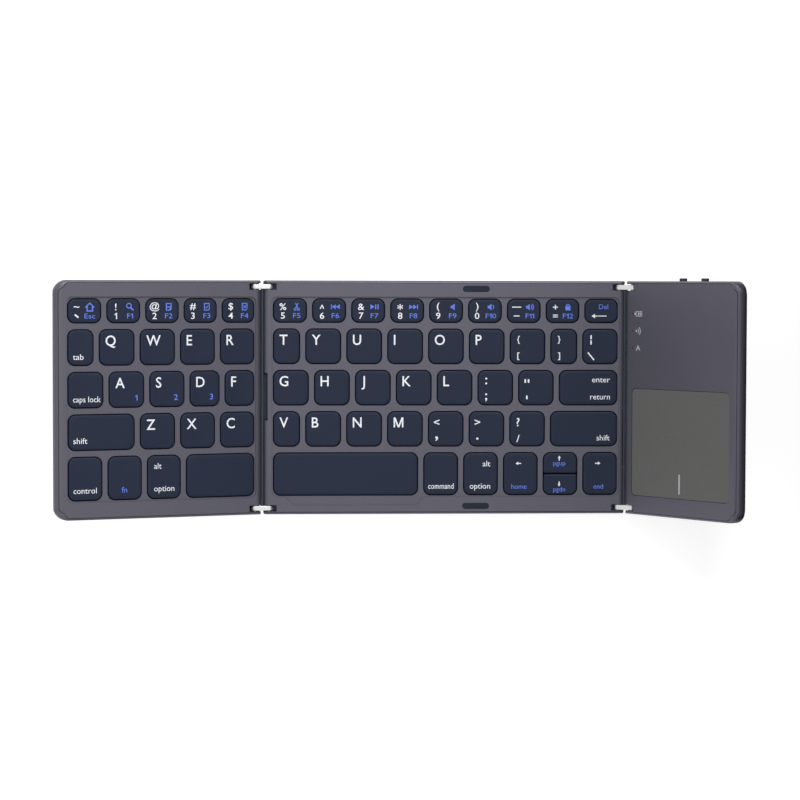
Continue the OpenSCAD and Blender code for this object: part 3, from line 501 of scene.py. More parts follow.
# %% Rings of a cap
cap_corner = 2.8  # all sizes of a cap are in mm
tight_corner = 0.9  # where the two half keys face each other
cap_wall = 0.9
cap_top = 1.2
stem_radius = 1.2
stem_length = 1.0
dish = 0.25  # depth of the hollow
wide_cap = 24  # caps at least this wide are flat
least_radius = 0.15


def ring(width, depth, inset, radii, per_corner=7, per_side=5):
    """A rounded rectangle, made smaller by inset, with points along its sides too.

    The radii run counter-clockwise from the front right corner.
    """
    arcs = []
    for (sx, sy, first), full in zip(((1, -1, -90), (1, 1, 0), (-1, 1, 90), (-1, -1, 180)), radii):
        radius = max(full - inset, least_radius)
        reach = radius + inset
        centre = Vector((sx * (width / 2 - reach), sy * (depth / 2 - reach)))
        turns = [math.radians(first + 90 * k / per_corner) for k in range(per_corner + 1)]
        arcs.append([centre + radius * Vector((math.cos(a), math.sin(a))) for a in turns])
    points = []
    for arc, following in zip(arcs, arcs[1:] + arcs[:1]):
        points += arc
        points += [arc[-1].lerp(following[0], k / per_side) for k in range(1, per_side)]
    return points


def hollow(x, width):
    """How far the top of a cap lies below its edge."""
    return 0.0 if width >= wide_cap else dish * max(0.0, 1 - (2 * x / width) ** 2)


def cap_rings(width, depth, height, radii):
    """The rings of a cap, from the stem's end round to the middle of the top; z is 0 at the top."""
    edge = ((0.0, -0.55), (0.06, -0.26), (0.22, -0.07), (0.5, 0.0))
    outline = ring(width, depth, 0, radii)
    turns = [math.atan2(p.y, p.x) for p in outline]
    stem = [stem_radius * Vector((math.cos(a), math.sin(a))) for a in turns]
    inner = ring(width, depth, cap_wall, radii)
    rings = [[(p.x, p.y, -cap_top - stem_length) for p in stem]]
    rings.append([(p.x, p.y, -cap_top) for p in stem])
    rings.append([(p.x, p.y, -cap_top) for p in inner])
    rings.append([(p.x, p.y, -height) for p in inner])
    rings.append([(p.x, p.y, -height) for p in outline])
    for inset, drop in edge:
        shape = ring(width, depth, inset, radii)
        rings.append([(p.x, p.y, drop - hollow(p.x, width)) for p in shape])
    for share in (0.86, 0.66, 0.44, 0.2):
        rings.append([(p.x * share, p.y * share, -hollow(p.x * share, width)) for p in shape])
    return rings


print("a cap's outline has", len(ring(14, 14, 0, [cap_corner] * 4)), "points")

# %% [markdown]
# The rings are joined to closed bodies. All caps of a group are one object, since they move
# together, and that object stands for the group's plain solid. The two half-height arrow keys get
# tighter corners where they face each other.

# %% Build the caps and stand them for the plain ones
def stack(rings, at, corners, faces):
    """Adds a closed body of rings to the lists."""
    first = len(corners)
    count = len(rings[0])
    corners += [at + Vector(p) for level in rings for p in level]
    for level in range(len(rings) - 1):
        a = first + level * count
        for k in range(count):
            n = (k + 1) % count
            faces.append([a + k, a + n, a + count + n, a + count + k])
    faces.append([first + k for k in reversed(range(count))])
    last = first + (len(rings) - 1) * count
    faces.append([last + k for k in range(count)])


for body, boxes in cap_boxes.items():
    front = tight_corner if body == "up_arrow_key" else cap_corner
    rear = tight_corner if body == "down_arrow_key" else cap_corner
    corners, faces = [], []
    for low, high in boxes:
        size = high - low
        middle = Vector(((low.x + high.x) / 2, (low.y + high.y) / 2, high.z))
        stack(cap_rings(size.x, size.y, size.z, (front, rear, rear, front)), middle, corners, faces)
    axes = panel_axes[panel_of[body]]
    caps = piece(body + "_caps", corners, faces, body, axes, cap_abs)
    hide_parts(body)
print("built", len(cap_boxes), "groups of caps")

# %% [markdown]
# ## Marks: letters, words and small pictures
# A mark is an outline, filled and raised by a few hundredths of a millimetre. Letters come from
# Blender's own font, and single ones are made a touch bolder to match the print. The pictures
# could be traced by hand as curves, but they are plain enough to be put together from bars,
# circles, bands and arrows.

# %% Shapes that small pictures are drawn from
def circle(x, y, r, count=20):
    """A full round."""
    turns = [2 * math.pi * k / count for k in range(count)]
    return [(x + r * math.cos(a), y + r * math.sin(a)) for a in turns]


def block(x0, y0, x1, y1):
    """A rectangle."""
    return [(x0, y0), (x1, y0), (x1, y1), (x0, y1)]


def stroke(x0, y0, x1, y1, width):
    """A straight line with a width."""
    along = Vector((x1 - x0, y1 - y0)).normalized() * width / 2
    return [
        (x0 - along.y, y0 + along.x),
        (x0 + along.y, y0 - along.x),
        (x1 + along.y, y1 - along.x),
        (x1 - along.y, y1 + along.x),
    ]


def band(x, y, r, width, first, last, count=8):
    """A piece of a ring, from one angle to another in degrees."""
    turns = [math.radians(first + (last - first) * k / count) for k in range(count + 1)]
    outer = [(x + (r + width / 2) * math.cos(a), y + (r + width / 2) * math.sin(a)) for a in turns]
    inner = [(x + (r - width / 2) * math.cos(a), y + (r - width / 2) * math.sin(a)) for a in turns]
    return outer + inner[::-1]


def arrow(length, head, width, turn=0):
    """An arrow that points left, or is turned by an angle in degrees."""
    half = length / 2
    shaft = block(-half + head * 0.7, -width / 2, half, width / 2)
    tip = [(-half, 0), (-half + head, -head * 0.62), (-half + head, head * 0.62)]
    a = math.radians(turn)
    c, s = math.cos(a), math.sin(a)
    return [[[(x * c - y * s, x * s + y * c) for x, y in loop]] for loop in (shaft, tip)]


print("an arrow has", len(arrow(3, 1, 0.4)), "parts")

# %% [markdown]
# A picture is a list of parts, and a part is a list of outlines. Outlines inside the first one
# stay open, such as the inside of the house.

# %% The small pictures, about 3 mm high and centred on their middle
speaker = [(-1.3, -0.4), (-0.85, -0.4), (-0.1, -1.05), (-0.1, 1.05), (-0.85, 0.4), (-1.3, 0.4)]
house = [(-1.6, -0.1), (0, 1.45), (1.6, -0.1), (1.0, -0.1), (1.0, -1.35), (-1.0, -1.35), (-1.0, -0.1)]
house_inside = [(-0.85, 0.2), (0, 1.0), (0.85, 0.2), (0.62, 0.2), (0.62, -0.98), (-0.62, -0.98), (-0.62, 0.2)]
sheet = [(-1.05, -1.35), (0.55, -1.35), (1.05, -0.85), (1.05, 1.35), (-1.05, 1.35)]
pictures = {
    "house": [[house, house_inside]],
    "magnifier": [
        [circle(-0.35, 0.4, 1.0), circle(-0.35, 0.4, 0.66)],
        [stroke(0.3, -0.3, 1.25, -1.25, 0.5)],
    ],
    "sheet": [[sheet, block(-0.7, 0.15, 0.7, 1.0), block(-0.7, -0.95, 0.4, -0.2)]],
    "sheet_with_tick": [
        [sheet, block(-0.72, -1.0, 0.72, 1.02)],
        [stroke(-0.45, -0.1, -0.1, -0.5, 0.28)],
        [stroke(-0.1, -0.5, 0.5, 0.5, 0.28)],
    ],
    "sheet_with_cross": [
        [sheet, block(-0.72, -1.0, 0.72, 1.02)],
        [stroke(-0.45, -0.5, 0.45, 0.5, 0.26)],
        [stroke(-0.45, 0.5, 0.45, -0.5, 0.26)],
    ],
    "scissors": [
        [circle(-0.62, -0.95, 0.52, 14), circle(-0.62, -0.95, 0.26, 14)],
        [circle(0.62, -0.95, 0.52, 14), circle(0.62, -0.95, 0.26, 14)],
        [stroke(-0.4, -0.5, 0.5, 1.4, 0.28)],
        [stroke(0.4, -0.5, -0.5, 1.4, 0.28)],
    ],
    "back": [
        [block(-1.7, -0.85, -1.38, 0.85)],
        [[(-1.35, 0), (0.0, -0.85), (0.0, 0.85)]],
        [[(0.05, 0), (1.5, -0.85), (1.5, 0.85)]],
    ],
    "play": [
        [[(-1.6, -0.9), (-0.15, 0), (-1.6, 0.9)]],
        [block(0.1, -0.9, 0.5, 0.9)],
        [block(0.95, -0.9, 1.35, 0.9)],
    ],
    "forward": [
        [block(1.38, -0.85, 1.7, 0.85)],
        [[(1.35, 0), (0.0, 0.85), (0.0, -0.85)]],
        [[(-0.05, 0), (-1.5, 0.85), (-1.5, -0.85)]],
    ],
    "silent": [[speaker]],
    "quieter": [[speaker], [band(-0.3, 0, 0.85, 0.26, -45, 45)]],
    "louder": [[speaker], [band(-0.3, 0, 0.85, 0.26, -45, 45)], [band(-0.3, 0, 1.4, 0.26, -48, 48)]],
    "lock": [[block(-0.85, -1.3, 0.85, 0.1)], [band(0, 0.1, 0.58, 0.3, 0, 180)]],
    "long_left_arrow": arrow(6.4, 1.5, 0.34),
    "left_arrow": arrow(2.0, 0.95, 0.38),
    "right_arrow": arrow(2.0, 0.95, 0.38, 180),
    "up_arrow": arrow(1.9, 0.95, 0.4, -90),
    "down_arrow": arrow(1.9, 0.95, 0.4, 90),
    "broken_bar": [[block(-0.27, 0.25, 0.27, 1.95)], [block(-0.27, -1.95, 0.27, -0.25)]],
    "backslash": [[stroke(-1.2, 1.6, 1.2, -1.6, 0.5)]],
    "grave": [[stroke(-0.75, 0.6, 0.65, -0.6, 0.6)]],
    "double_quote": [[block(-0.95, -0.75, -0.35, 0.75)], [block(0.35, -0.75, 0.95, 0.75)]],
    "quote": [[block(-0.3, -0.75, 0.3, 0.75)]],
    "low_line": [[block(-1.75, -0.2, 1.75, 0.2)]],
    "hyphen": [[block(-1.1, -0.2, 1.1, 0.2)]],
    "battery": [
        [block(-1.2, -1.1, 1.9, 1.1), block(-0.9, -0.8, 1.6, 0.8)],
        [block(-1.9, -0.45, -1.2, 0.45)],
        [block(-0.1, -0.6, 0.45, 0.6)],
        [block(0.75, -0.6, 1.3, 0.6)],
    ],
    "radio_waves": [
        [circle(-1.1, 0, 0.42, 12)],
        [band(-1.1, 0, 1.15, 0.34, -48, 48)],
        [band(-1.1, 0, 2.0, 0.34, -48, 48)],
    ],
    "touch_mark": [[block(-0.4, -4.1, 0.4, 4.1)]],
}
print("drew", len(pictures), "small pictures")

# %% [markdown]
# ## Outlines to flat meshes
# A Curve object fills its outlines and raises them. It is evaluated once and then thrown away, and
# only its mesh is kept. A letter's size is set by the height of its capital H, since print is
# measured in that way, and not by the font's own units.

# %% Outlines to meshes
ink_depth = 0.05
label_depth = 0.04  # of text at font size 1, before it is set to the ink's depth
outline_weld = 1e-5


def filled(outline):
    """The closed mesh of a curve or text, as corners and faces."""
    holder = stand("outline", outline)
    solid = bpy.data.meshes.new_from_object(holder.evaluated_get(bpy.context.evaluated_depsgraph_get()))
    mesh = bmesh.new()
    mesh.from_mesh(solid)
    bmesh.ops.remove_doubles(mesh, verts=mesh.verts, dist=outline_weld)
    corners = [vert.co.copy() for vert in mesh.verts]
    faces = [[vert.index for vert in face.verts] for face in mesh.faces]
    mesh.free()
    bpy.data.objects.remove(holder)
    bpy.data.meshes.remove(solid)
    return corners, faces


def join(corners, faces, more, more_faces):
    """Adds a lump's corners and faces to the lists."""
    faces += [[len(corners) + i for i in face] for face in more_faces]
    corners += more


def drawn(parts):
    """A small picture as corners and faces."""
    corners, faces = [], []
    for loops in parts:
        outline = bpy.data.curves.new("outline", "CURVE")
        outline.dimensions = "2D"
        outline.fill_mode = "BOTH"
        outline.extrude = ink_depth / 2
        for loop in loops:
            line = outline.splines.new("POLY")
            line.points.add(len(loop) - 1)
            line.points.foreach_set("co", [v for x, y in loop for v in (x, y, 0.0, 1.0)])
            line.use_cyclic_u = True
        join(corners, faces, *filled(outline))
    return corners, faces


def typed(text, bold):
    """Text in the built-in font at size 1, starting at x = 0 on its base line."""
    outline = bpy.data.curves.new("outline", "FONT")
    outline.body = text
    outline.resolution_u = 3
    outline.offset = bold
    outline.extrude = label_depth / 2
    return filled(outline)


capital = span(typed("H", 0)[0])
capital_height = capital[1].y - capital[0].y
print("a capital H is", round(capital_height, 3), "high at font size 1")

# %% [markdown]
# The built-in font draws the digit 1 as a plain stroke, which reads as the letter I, and its M
# closes up when it's made bolder. So both get outlines of their own, and the parts of a label are
# then set side by side. Only single characters are made bolder: a label of several characters
# stays as thin as the font has it.

# %% Labels with a flagged 1 and an open M
bolder = 0.008
letter_gap = 0.07
tall = capital_height
flag = [(0.2, 0), (0.31, 0), (0.31, tall), (0.23, tall), (0.06, tall * 0.76), (0.06, tall * 0.62)]
redrawn = {
    "1": [[flag + [(0.2, tall * 0.76)]]],
    "M": [
        [block(0, 0, 0.105, tall)],
        [block(0.605, 0, 0.71, tall)],
        [[(0, tall), (0.13, tall), (0.41, 0), (0.3, 0)]],
        [[(0.58, tall), (0.71, tall), (0.41, 0), (0.3, 0)]],
    ],
}


def written(text):
    """Text as corners and faces, with each 1 and M drawn apart."""
    bold = bolder if len(text) == 1 else 0.0
    corners, faces, at = [], [], 0.0
    for part in text.replace("1", "\t1\t").replace("M", "\tM\t").split("\t"):
        if not part:
            continue
        part_corners, part_faces = drawn(redrawn[part]) if part in redrawn else typed(part, bold)
        low, far = span(part_corners)
        flat = label_depth / (far.z - low.z)
        moved = [Vector((at + c.x - low.x, c.y, (c.z - low.z) * flat)) for c in part_corners]
        join(corners, faces, moved, part_faces)
        at += far.x - low.x + letter_gap
    return corners, faces


print("F12 has", len(written("F12")[1]), "faces")

# %% [markdown]
# ## What is printed on each key
# The marks are the usual ones: one letter or digit, its second character, and what the key does
# together with fn, in blue. A mark says what it shows, its ink, its height, its place from a side
# and from the rear or front of the cap, and how much wider than the font it's printed. For a small
# picture, the height is a scale.

# %% Marks on the caps
word = 2.3  # height of the tall letters in a word


def letter(text):
    """One large letter near the cap's rear left corner."""
    return (text, "white", 4.15, "left", 2.4, "rear", 2.3, 0.94)


def two(upper, lower, high=2.9, lower_high=None):
    """Two characters, one over the other."""
    return [
        (upper, "white", high, "at", 3.3, "rear_middle", 4.3, 1.1),
        (lower, "white", lower_high or high, "at", 3.3, "rear_middle", 11.2, 1.1),
    ]


def number(upper, lower, picture, label, blue_x=9.5, white_x=3.5, size=1.15, high=2.7):
    """A cap of the number row: two white characters, a blue picture and a blue label."""
    single = 1.0 if lower in pictures else 2.55
    return [
        (upper, "white", high, "at", white_x, "rear_middle", 3.2, 1.1),
        (lower, "white", single, "at", white_x, "rear_middle", 6.9, 1.12),
        (picture, "blue", size, "at", blue_x, "rear_middle", 3.2, 1.0),
        (label, "blue", 2.0, "at", blue_x, "rear_middle", 6.9, 1.25),
    ]


def foot(text, ink="white", inset=1.9, up=2.2, wider=1.0):
    """A word at the cap's front left corner."""
    return (text, ink, word, "left", inset, "front", up, wider)


def foot_right(text, up=2.2):
    """A word at the cap's front right corner."""
    return (text, "white", word, "right", 2.9, "front", up, 1.0)


def way(picture, text):
    """An arrow with a blue word under it."""
    return [
        (picture, "white", 1.15, "at", 6.1, "rear_middle", 4.4, 1.0),
        (text, "blue", 2.0, "at", 6.4, "front", 2.4, 1.0),
    ]


marks_on = {
    "left_number_keys": [
        number("~", "grave", "house", "Esc", 9.0, size=1.35),
        number("!", "1", "magnifier", "F1"),
        number("@", "2", "sheet", "F2"),
        number("#", "3", "sheet_with_tick", "F3"),
        number("$", "4", "sheet_with_cross", "F4"),
    ],
    "tab_key": [[foot("tab", wider=1.08)]],
    "left_upper_keys": [[letter(text)] for text in "QWER"],
    "caps_key": [[foot("caps lock", wider=0.92)]],
    "left_home_keys": [
        [letter(text), (digit, "blue", 2.3, "right", 2.6, "front", 2.6, 1.1)] if digit else [letter(text)]
        for text, digit in zip("ASDF", ("1", "2", "3", None))
    ],
    "left_shift_key": [[foot("shift", up=2.6, wider=1.05)]],
    "left_lower_keys": [[letter(text)] for text in "ZXC"],
    "left_modifier_keys": [
        [foot("control", up=2.8)],
        [foot("fn", "blue", 5.5, 2.8)],
        [("alt", "white", word, "left", 2.6, "rear", 3.0, 1.0), foot("option", inset=2.6, up=2.9)],
    ],
    "left_space_key": [[]],
    "number_keys": [
        number("%", "5", "scissors", "F5", 9.6, 3.8),
        number("^", "6", "back", "F6", 9.4, 3.8),
        number("&", "7", "play", "F7", 9.4, 3.8),
        number("*", "8", "forward", "F8", 9.4, 3.8, high=3.6),
        number("(", "9", "silent", "F9", 9.5, 3.4, 1.4),
        number(")", "0", "quieter", "F10", 9.2, 3.4, 1.35),
        number("low_line", "hyphen", "louder", "F11", 9.3, 3.7, 1.3, 1.0),
        number("+", "=", "lock", "F12", 9.0, 3.7, 1.25),
    ],
    "backspace_key": [
        [
            ("Del", "blue", 2.0, "at", 7.7, "rear_middle", 3.0, 1.0),
            ("long_left_arrow", "white", 1.0, "at", 5.8, "rear_middle", 6.9, 1.0),
        ]
    ],
    "upper_letter_keys": [[letter(text)] for text in "TYUIOP"]
    + [two("{", "[", 2.4), two("}", "]", 2.4), two("broken_bar", "backslash", 1.0)],
    "home_letter_keys": [[letter(text)] for text in "GHJKL"]
    + [two(":", ";", 4.0, 3.9), two("double_quote", "quote", 1.0)],
    "enter_key": [[("enter", "white", word, "right", 2.9, "front", 9.4, 1.05), foot_right("return")]],
    "lower_letter_keys": [[letter(text)] for text in "VBNM"]
    + [two("<", ",", 3.0, 5.0), two(">", ".", 3.0, 4.6), two("?", "/", 3.4, 2.9)],
    "right_shift_key": [[foot_right("shift")]],
    "right_space_key": [[]],
    "right_modifier_keys": [
        [foot("command", inset=1.7, up=2.5, wider=0.82)],
        [("alt", "white", word, "right", 2.9, "rear", 3.3, 1.0), foot("option", inset=2.4, up=2.5)],
    ],
    "side_arrow_keys": [way("left_arrow", "home"), way("right_arrow", "end")],
    "up_arrow_key": [
        [
            ("up_arrow", "white", 1.1, "at", 6.6, "rear_middle", 2.2, 1.0),
            ("pgup", "blue", 1.9, "at", 6.6, "rear_middle", 4.9, 1.0),
        ]
    ],
    "down_arrow_key": [
        [
            ("down_arrow", "white", 1.1, "at", 6.6, "rear_middle", 4.1, 1.0),
            ("pgdn", "blue", 1.9, "at", 6.6, "rear_middle", 6.6, 1.0),
        ]
    ],
}
print("marked", sum(len(caps) for caps in marks_on.values()), "caps")

# %% [markdown]
# Each mark is brought to its height and place. Then it is laid on its cap point by point, so that
# it follows the hollow of the top.

# %% Lay a mark in its place
def mark_mesh(text, high, wider=1.0):
    """The mark's corners and faces in mm, from a height, or from a scale if it's a picture."""
    is_picture = text in pictures
    corners, faces = drawn(pictures[text]) if is_picture else written(text)
    scale = high if is_picture else high / capital_height
    low, far = span(corners)
    flat = ink_depth / (far.z - low.z)
    wide = scale * wider
    return [Vector((c.x * wide, c.y * scale, (c.z - low.z) * flat)) for c in corners], faces


def place_mark(mark, width, depth):
    """The mark's corners round the cap's middle, and its faces."""
    text, ink, high, side, x, level, y, wider = mark
    corners, faces = mark_mesh(text, high, wider)
    low, far = span(corners)
    dx = {
        "left": x - width / 2 - low.x,
        "right": width / 2 - x - far.x,
        "at": x - width / 2 - (low.x + far.x) / 2,
    }[side]
    dy = {
        "rear": depth / 2 - y - high,
        "rear_middle": depth / 2 - y - (low.y + far.y) / 2,
        "front": y - depth / 2,
    }[level]
    return [Vector((c.x + dx, c.y + dy, c.z)) for c in corners], faces


for body, caps in marks_on.items():
    sheets = {"white": ([], []), "blue": ([], [])}
    for (low, high), marks in zip(cap_boxes[body], caps, strict=True):
        size = high - low
        middle = Vector(((low.x + high.x) / 2, (low.y + high.y) / 2, high.z))
        for mark in marks:
            corners, faces = sheets[mark[1]]
            laid, laid_faces = place_mark(mark, size.x, size.y)
            downs = [hollow(c.x, size.x) + ink_depth / 2 for c in laid]
            laid = [middle + Vector((c.x, c.y, c.z - down)) for c, down in zip(laid, downs, strict=True)]
            join(corners, faces, laid, laid_faces)
    for ink, (corners, faces) in sheets.items():
        if faces:
            axes = panel_axes[panel_of[body]]
            piece(f"{body}_{ink}_marks", corners, faces, body, axes, inks[ink])

# %% [markdown]
# ## Labels by the three lights, and the touchpad's middle line
# Three small lights near the hinge tell about charging, the radio link and the caps lock. Each has
# a grey label beside it: a battery, waves and a letter. A pale line at the touchpad's front edge
# marks where its left half ends and its right half begins.

# %% Labels on the touchpad's panel
label_height = 2.2
label_wider = 1.15
label_in = 2.6  # from a light to the middle of its label
line_in = 27.4  # from the touchpad's inner edge
line_up = 6.0  # from its front edge
right_axes = panel_axes["right_panel"]
cover_top = span([right_axes @ v.co / MM for v in nodes["right_top_cover"].data.vertices])[1].z
pad_low, pad_high = span([right_axes @ v.co / MM for v in nodes["touchpad"].data.vertices])
lights = sorted((span(c) for c, f in islands("indicator_light_pipes", right_axes)), key=lambda b: -b[0].y)
label_corners, label_faces = [], []
for (low, high), text in zip(lights, ("battery", "radio_waves", "A"), strict=True):
    corners, faces = mark_mesh(text, 1.0 if text in pictures else label_height, label_wider)
    near, far = span(corners)
    middle = Vector(((near.x + far.x) / 2, (near.y + far.y) / 2, 0))
    at = Vector((high.x + label_in, (low.y + high.y) / 2, cover_top - ink_depth / 2)) - middle
    join(label_corners, label_faces, [at + c for c in corners], faces)
piece("light_labels", label_corners, label_faces, "right_panel", right_axes, inks["grey"])
corners, faces = drawn(pictures["touch_mark"])
at = Vector((pad_low.x + line_in, pad_low.y + line_up, pad_high.z))
line_corners = [at + c for c in corners]
piece("touchpad_middle_line", line_corners, faces, "touchpad", right_axes, inks["grey"])
print("labelled", len(lights), "lights; the cover's top is at", round(cover_top, 2), "mm in panel space")

# %% [markdown]
# ## Round corners
# The solid's outer corners are a round plan cut by the end's profile. That leaves them pointed where
# the profile curves in, above and below. On the real panel the profile runs round the corner. So
# each side panel's shell and frame are cut into narrow strips near those corners. Every point there
# is then drawn in along the ray from the corner's centre, by as much as takes the solid's outline at
# that height to a quarter of an ellipse. The wall's inner side is drawn in with it. Shell and frame
# get the same shift at the same height, so they still meet.

# %% Run the end's profile round the corners
shell_corner = 5.8
cut_heights = (0.05, 0.1, 0.18, 0.28, 0.42, 0.57, 0.7, 0.8, 0.88, 0.94, 0.98)  # shares of the height
cut_strips = (0, 0.15, 0.3, 0.45, 0.6, 0.72, 0.82, 0.9, 0.96)  # shares of the corner's radius
cut_reach = 1e-7  # metres; a point this close to a cut lies on it
corner_start = 0.01  # mm; points nearer than this to the corner's start stay
outward_of = {"left_panel": -1, "right_panel": 1}
rounded = ("left_bottom_shell", "left_top_frame", "right_bottom_shell", "right_top_cover")


def outer_chain(found):
    """The outside of a convex profile, as (height, distance) from low to high."""
    best = {}
    for z, far in found:
        z = round(z, 3)
        best[z] = max(far, best.get(z, far))
    chain = []
    for z, far in sorted(best.items()):
        while len(chain) > 1:
            (z0, far0), (z1, far1) = chain[-2:]
            if (z1 - z0) * (far - far0) < (far1 - far0) * (z - z0):
                break
            chain.pop()
        chain.append((z, far))
    return chain


def reach_at(chain, z):
    """How far out a profile reaches at a height."""
    for (z0, far0), (z1, far1) in zip(chain, chain[1:]):
        if z <= z1:
            return far0 + (far1 - far0) * max(0.0, z - z0) / (z1 - z0)
    return chain[-1][1]


profiles = {}
for panel, outward in outward_of.items():
    shell = panel.replace("panel", "bottom_shell")
    points = [panel_axes[panel] @ v.co / MM for v in nodes[shell].data.vertices]
    ends = outer_chain((p.z, outward * p.x) for p in points)
    sides = outer_chain((p.z, abs(p.y)) for p in points)
    profiles[panel] = (ends, sides)


def round_corners(mesh, panel):
    """Rounds the two outer corners of a side panel's piece over its whole height."""
    axes, outward = panel_axes[panel], outward_of[panel]
    ends, sides = profiles[panel]
    centre = Vector([max(far for z, far in chain) - shell_corner for chain in (ends, sides)])
    across, up = axes.transposed() @ Vector((outward, 0, 0)), axes.transposed() @ Vector((0, 0, 1))
    rear, low, high = Vector((0, 1, 0)), ends[0][0], ends[-1][0]
    planes = [(up, low + (high - low) * share) for share in cut_heights]
    for share in cut_strips:
        more = shell_corner * share
        planes += [(across, centre.x + more), (rear, centre.y + more), (-rear, centre.y + more)]
    for normal, at in planes:
        geometry = mesh.verts[:] + mesh.edges[:] + mesh.faces[:]
        bmesh.ops.bisect_plane(
            mesh, geom=geometry, plane_co=normal * at * MM, plane_no=normal, dist=cut_reach
        )
    for vert in mesh.verts:
        point = axes @ vert.co / MM
        out = Vector((outward * point.x, abs(point.y))) - centre
        a, b = reach_at(ends, point.z) - centre.x, reach_at(sides, point.z) - centre.y
        if min(a, b, out.x, out.y) < corner_start:
            continue
        reach = min(a / out.x, b / out.y, shell_corner / out.length)
        out /= reach * math.hypot(out.x / a, out.y / b)
        point.x = outward * (centre.x + out.x)
        point.y = math.copysign(centre.y + out.y, point.y)
        vert.co = axes.transposed() @ point * MM


print("profiles of", len(profiles), "side panels; their corners get a radius of", shell_corner, "mm")

# %% [markdown]
# ## Soft edges
# A mould can't make a perfectly sharp edge, and paint rounds it further. That small round catches
# the light, and it is most of what makes plastic look real. The solids keep their sharp edges, so
# the visible ones get a copy: faces that lie in one plane are merged, a Bevel modifier rounds
# each edge over 35 degrees, and Weighted Normal keeps the large faces flat in their shading.

# %% Copies with soft edges
one_plane = 0.5  # degrees; faces that turn less than this are one
sharp_edge = 35  # degrees; edges that turn more than this are rounded


def soften(node, width, segments=2):
    """A copy of a solid with rounded edges, which stands for it."""
    mesh = bmesh.new()
    mesh.from_mesh(nodes[node].data)
    bmesh.ops.remove_doubles(mesh, verts=mesh.verts, dist=weld)
    if node in rounded:
        round_corners(mesh, body_of[node])
    bmesh.ops.dissolve_limit(
        mesh,
        angle_limit=math.radians(one_plane),
        verts=mesh.verts,
        edges=mesh.edges,
        use_dissolve_boundaries=False,
    )
    data = bpy.data.meshes.new(node + "_soft")
    mesh.to_mesh(data)
    mesh.free()
    data.polygons.foreach_set("use_smooth", [True] * len(data.polygons))
    data.materials.append(finish_of[slot_of[node]])
    soft = stand(node + "_soft", data)
    bevel = soft.modifiers.new("round the edges", "BEVEL")
    bevel.limit_method = "ANGLE"
    bevel.angle_limit = math.radians(sharp_edge)
    bevel.width = width * MM
    bevel.segments = segments
    bevel.use_clamp_overlap = True
    normals = soft.modifiers.new("keep faces flat", "WEIGHTED_NORMAL")
    normals.weight = 100
    normals.keep_sharp = True
    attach(soft, body_of[node])
    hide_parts(node)
    return soft


soft_edges = {
    "middle_top_frame": 0.12,
    "left_top_frame": 0.12,
    "right_top_cover": 0.12,
    "middle_bottom_shell": 0.15,
    "left_bottom_shell": 0.15,
    "right_bottom_shell": 0.15,
    "touchpad": 0.12,
    "left_hinge_bars": 0.25,
    "right_hinge_bars": 0.25,
    "magnet_pads": 0.12,
    "power_slider": 0.2,
    "mode_slider": 0.2,
    "middle_feet": 0.15,
    "left_feet": 0.15,
    "right_feet": 0.15,
}
for node, width in soft_edges.items():
    soften(node, width)
print("softened", len(soft_edges), "solids")

# %% [markdown]
# ## What gives under a key
# Under each cap a rubber dome holds it up, and two crossed frames keep it level. When the cap goes
# down, the dome buckles and the frames fold flat. The pieces under one group of keys are taken
# from the solids, gathered by that group, and ride on their panel.

# %% Domes and frames under each group of keys
for panel, prefix in (("middle_panel", "middle"), ("left_panel", "left")):
    axes = panel_axes[panel]
    for node, slot, name in (
        (prefix + "_domes", "dome_rubber", "domes"),
        (prefix + "_key_scissors", "scissor_plastic", "scissors"),
    ):
        lumps = [(span(c), c, f) for c, f in islands(node, axes)]
        for body in [b for b in press if panel_of[b] == panel]:
            corners, faces = [], []
            for (low, high), c, f in lumps:
                mid = (low + high) / 2
                if any(a.x < mid.x < b.x and a.y < mid.y < b.y for a, b in cap_boxes[body]):
                    join(corners, faces, c, f)
            give = piece(
                f"{name}_under_{body}", corners, faces, panel, axes, finish_of[slot], smooth=30
            )
            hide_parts(node)
            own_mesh(give)

# %% [markdown]
# ## The table
# The keyboard lies on a white table that runs out of the picture. The table is lit like any
# surface and takes the shadow, and a share of plain white is added for the camera, so that it comes
# out white while the object keeps its own light. Mirrors and glass must see the same table, so the
# share also holds for glossy and transmitted rays.

# %% White table
table_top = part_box("middle_feet")[0].z
side = 6.0  # metres from the middle to the table's edge
white_share = 0.75
table = bpy.data.meshes.new("table")
table.from_pydata(
    [(x * side, y * side, table_top) for x, y in ((-1, -1), (1, -1), (1, 1), (-1, 1))], [], [(0, 1, 2, 3)]
)
table_white, tree = blank("white_laminate")
laminate = add(tree, "ShaderNodeBsdfDiffuse", {"Color": linear("#D8D8D8")})
ray = add(tree, "ShaderNodeLightPath")
seen = add(
    tree,
    "ShaderNodeMath",
    {0: ray.outputs["Is Camera Ray"], 1: ray.outputs["Is Glossy Ray"]},
    operation="MAXIMUM",
)
shown = add(
    tree,
    "ShaderNodeMath",
    {0: seen.outputs[0], 1: ray.outputs["Is Transmission Ray"]},
    operation="MAXIMUM",
)
share = add(tree, "ShaderNodeMath", {0: shown.outputs[0], 1: white_share}, operation="MULTIPLY")
plain_white = add(tree, "ShaderNodeEmission", {"Color": linear("#FFFFFF"), "Strength": share.outputs[0]})
both = add(tree, "ShaderNodeAddShader", {0: laminate.outputs[0], 1: plain_white.outputs[0]})
add(tree, "ShaderNodeOutputMaterial", {"Surface": both.outputs[0]})
table.materials.append(table_white)
table_object = stand("table", table)
table_object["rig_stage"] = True
print("table at", round(table_top / MM, 2), "mm")

# %% [markdown]
# ## The light
# A large soft box hangs above the keyboard and well behind it, a little to the right, out of the
# mirror line between keys and camera. A dim white sky fills the shadows.

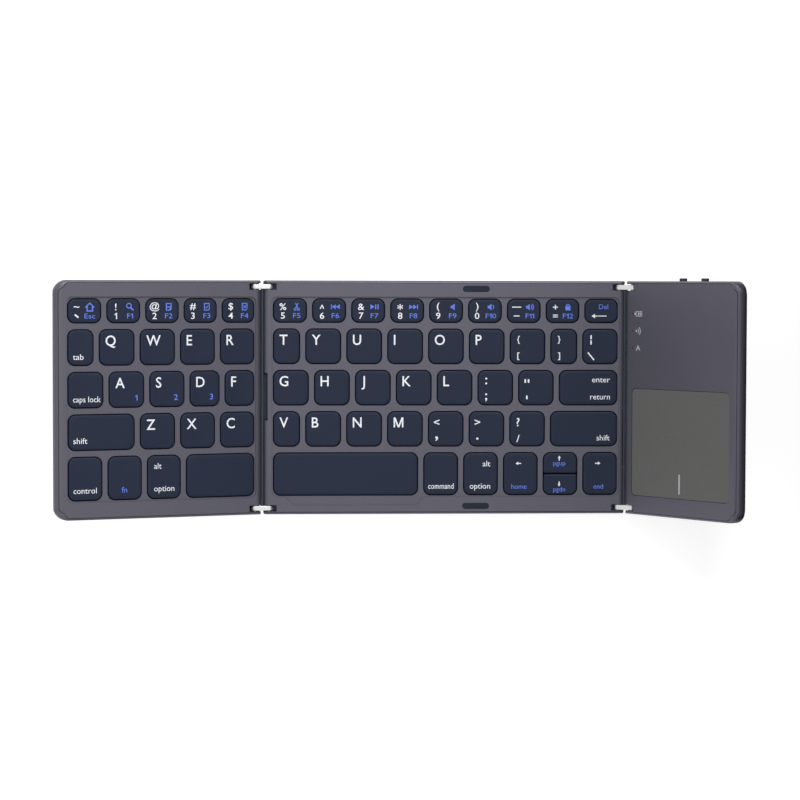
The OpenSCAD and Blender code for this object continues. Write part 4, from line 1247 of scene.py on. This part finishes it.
# %% Sky and soft box
sky = bpy.data.worlds.new("studio")
sky.use_nodes = True
sky.node_tree.nodes["Background"].inputs["Color"].default_value = linear("#FFFFFF")
sky.node_tree.nodes["Background"].inputs["Strength"].default_value = 0.65
bpy.context.scene.world = sky
soft_box = bpy.data.lights.new("soft_box", "AREA")
soft_box.shape = "RECTANGLE"
soft_box.size = 0.9
soft_box.size_y = 0.9
soft_box.energy = 20
box_place = Vector((0.25, 1.1, 1.3))
box_object = stand("soft_box", soft_box)
box_object.location = box_place
box_object.rotation_mode = "QUATERNION"
box_object.rotation_quaternion = (-box_place).to_track_quat("-Z", "Y")
box_object.visible_camera = False
bpy.context.scene.view_settings.view_transform = "Standard"
print("soft box of", soft_box.energy, "W at", [round(x, 2) for x in box_place], "m")

# %% [markdown]
# A pale object on a white table gets lost at its edges, so photographers stand a black card
# beside it, just out of the picture. The outer wall of the touchpad's panel then mirrors the card
# and turns dark, as it does in the photograph.

# %% Black card to the right
card_x = 0.168
card_high = 0.22
card_lean = 0.03
card_half = 0.3  # half its length
card = bpy.data.meshes.new("black_card")
card.from_pydata(
    [
        (card_x, -card_half, table_top),
        (card_x, card_half, table_top),
        (card_x - card_lean, card_half, table_top + card_high),
        (card_x - card_lean, -card_half, table_top + card_high),
    ],
    [],
    [(0, 1, 2, 3)],
)
card_black, tree = blank("black_flocked_card")
flock = add(tree, "ShaderNodeBsdfDiffuse", {"Color": linear("#0A0A0A")})
add(tree, "ShaderNodeOutputMaterial", {"Surface": flock.outputs[0]})
card.materials.append(card_black)
card_object = stand("black_card", card)
card_object.visible_camera = False
card_object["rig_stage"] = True
print("card from", card_x, "m, as high as", card_high, "m")

# %% [markdown]
# ## Sizes and the end
# The frame's box and the finished object's box are set side by side, and how far the finished one
# differs from the frame's is printed in millimetres.

# %% Compare the boxes and finish
made_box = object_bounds()
boxes = {
    "cad": [[round(v, 6) for v in corner] for corner in cad_box],
    "visual": [[round(v, 6) for v in corner] for corner in made_box],
}
growth = [round((b - a) / MM, 3) for a, b in zip([*cad_box[0], *cad_box[1]], [*made_box[0], *made_box[1]])]
print("the finished box differs from the frame's by, in mm:", growth)
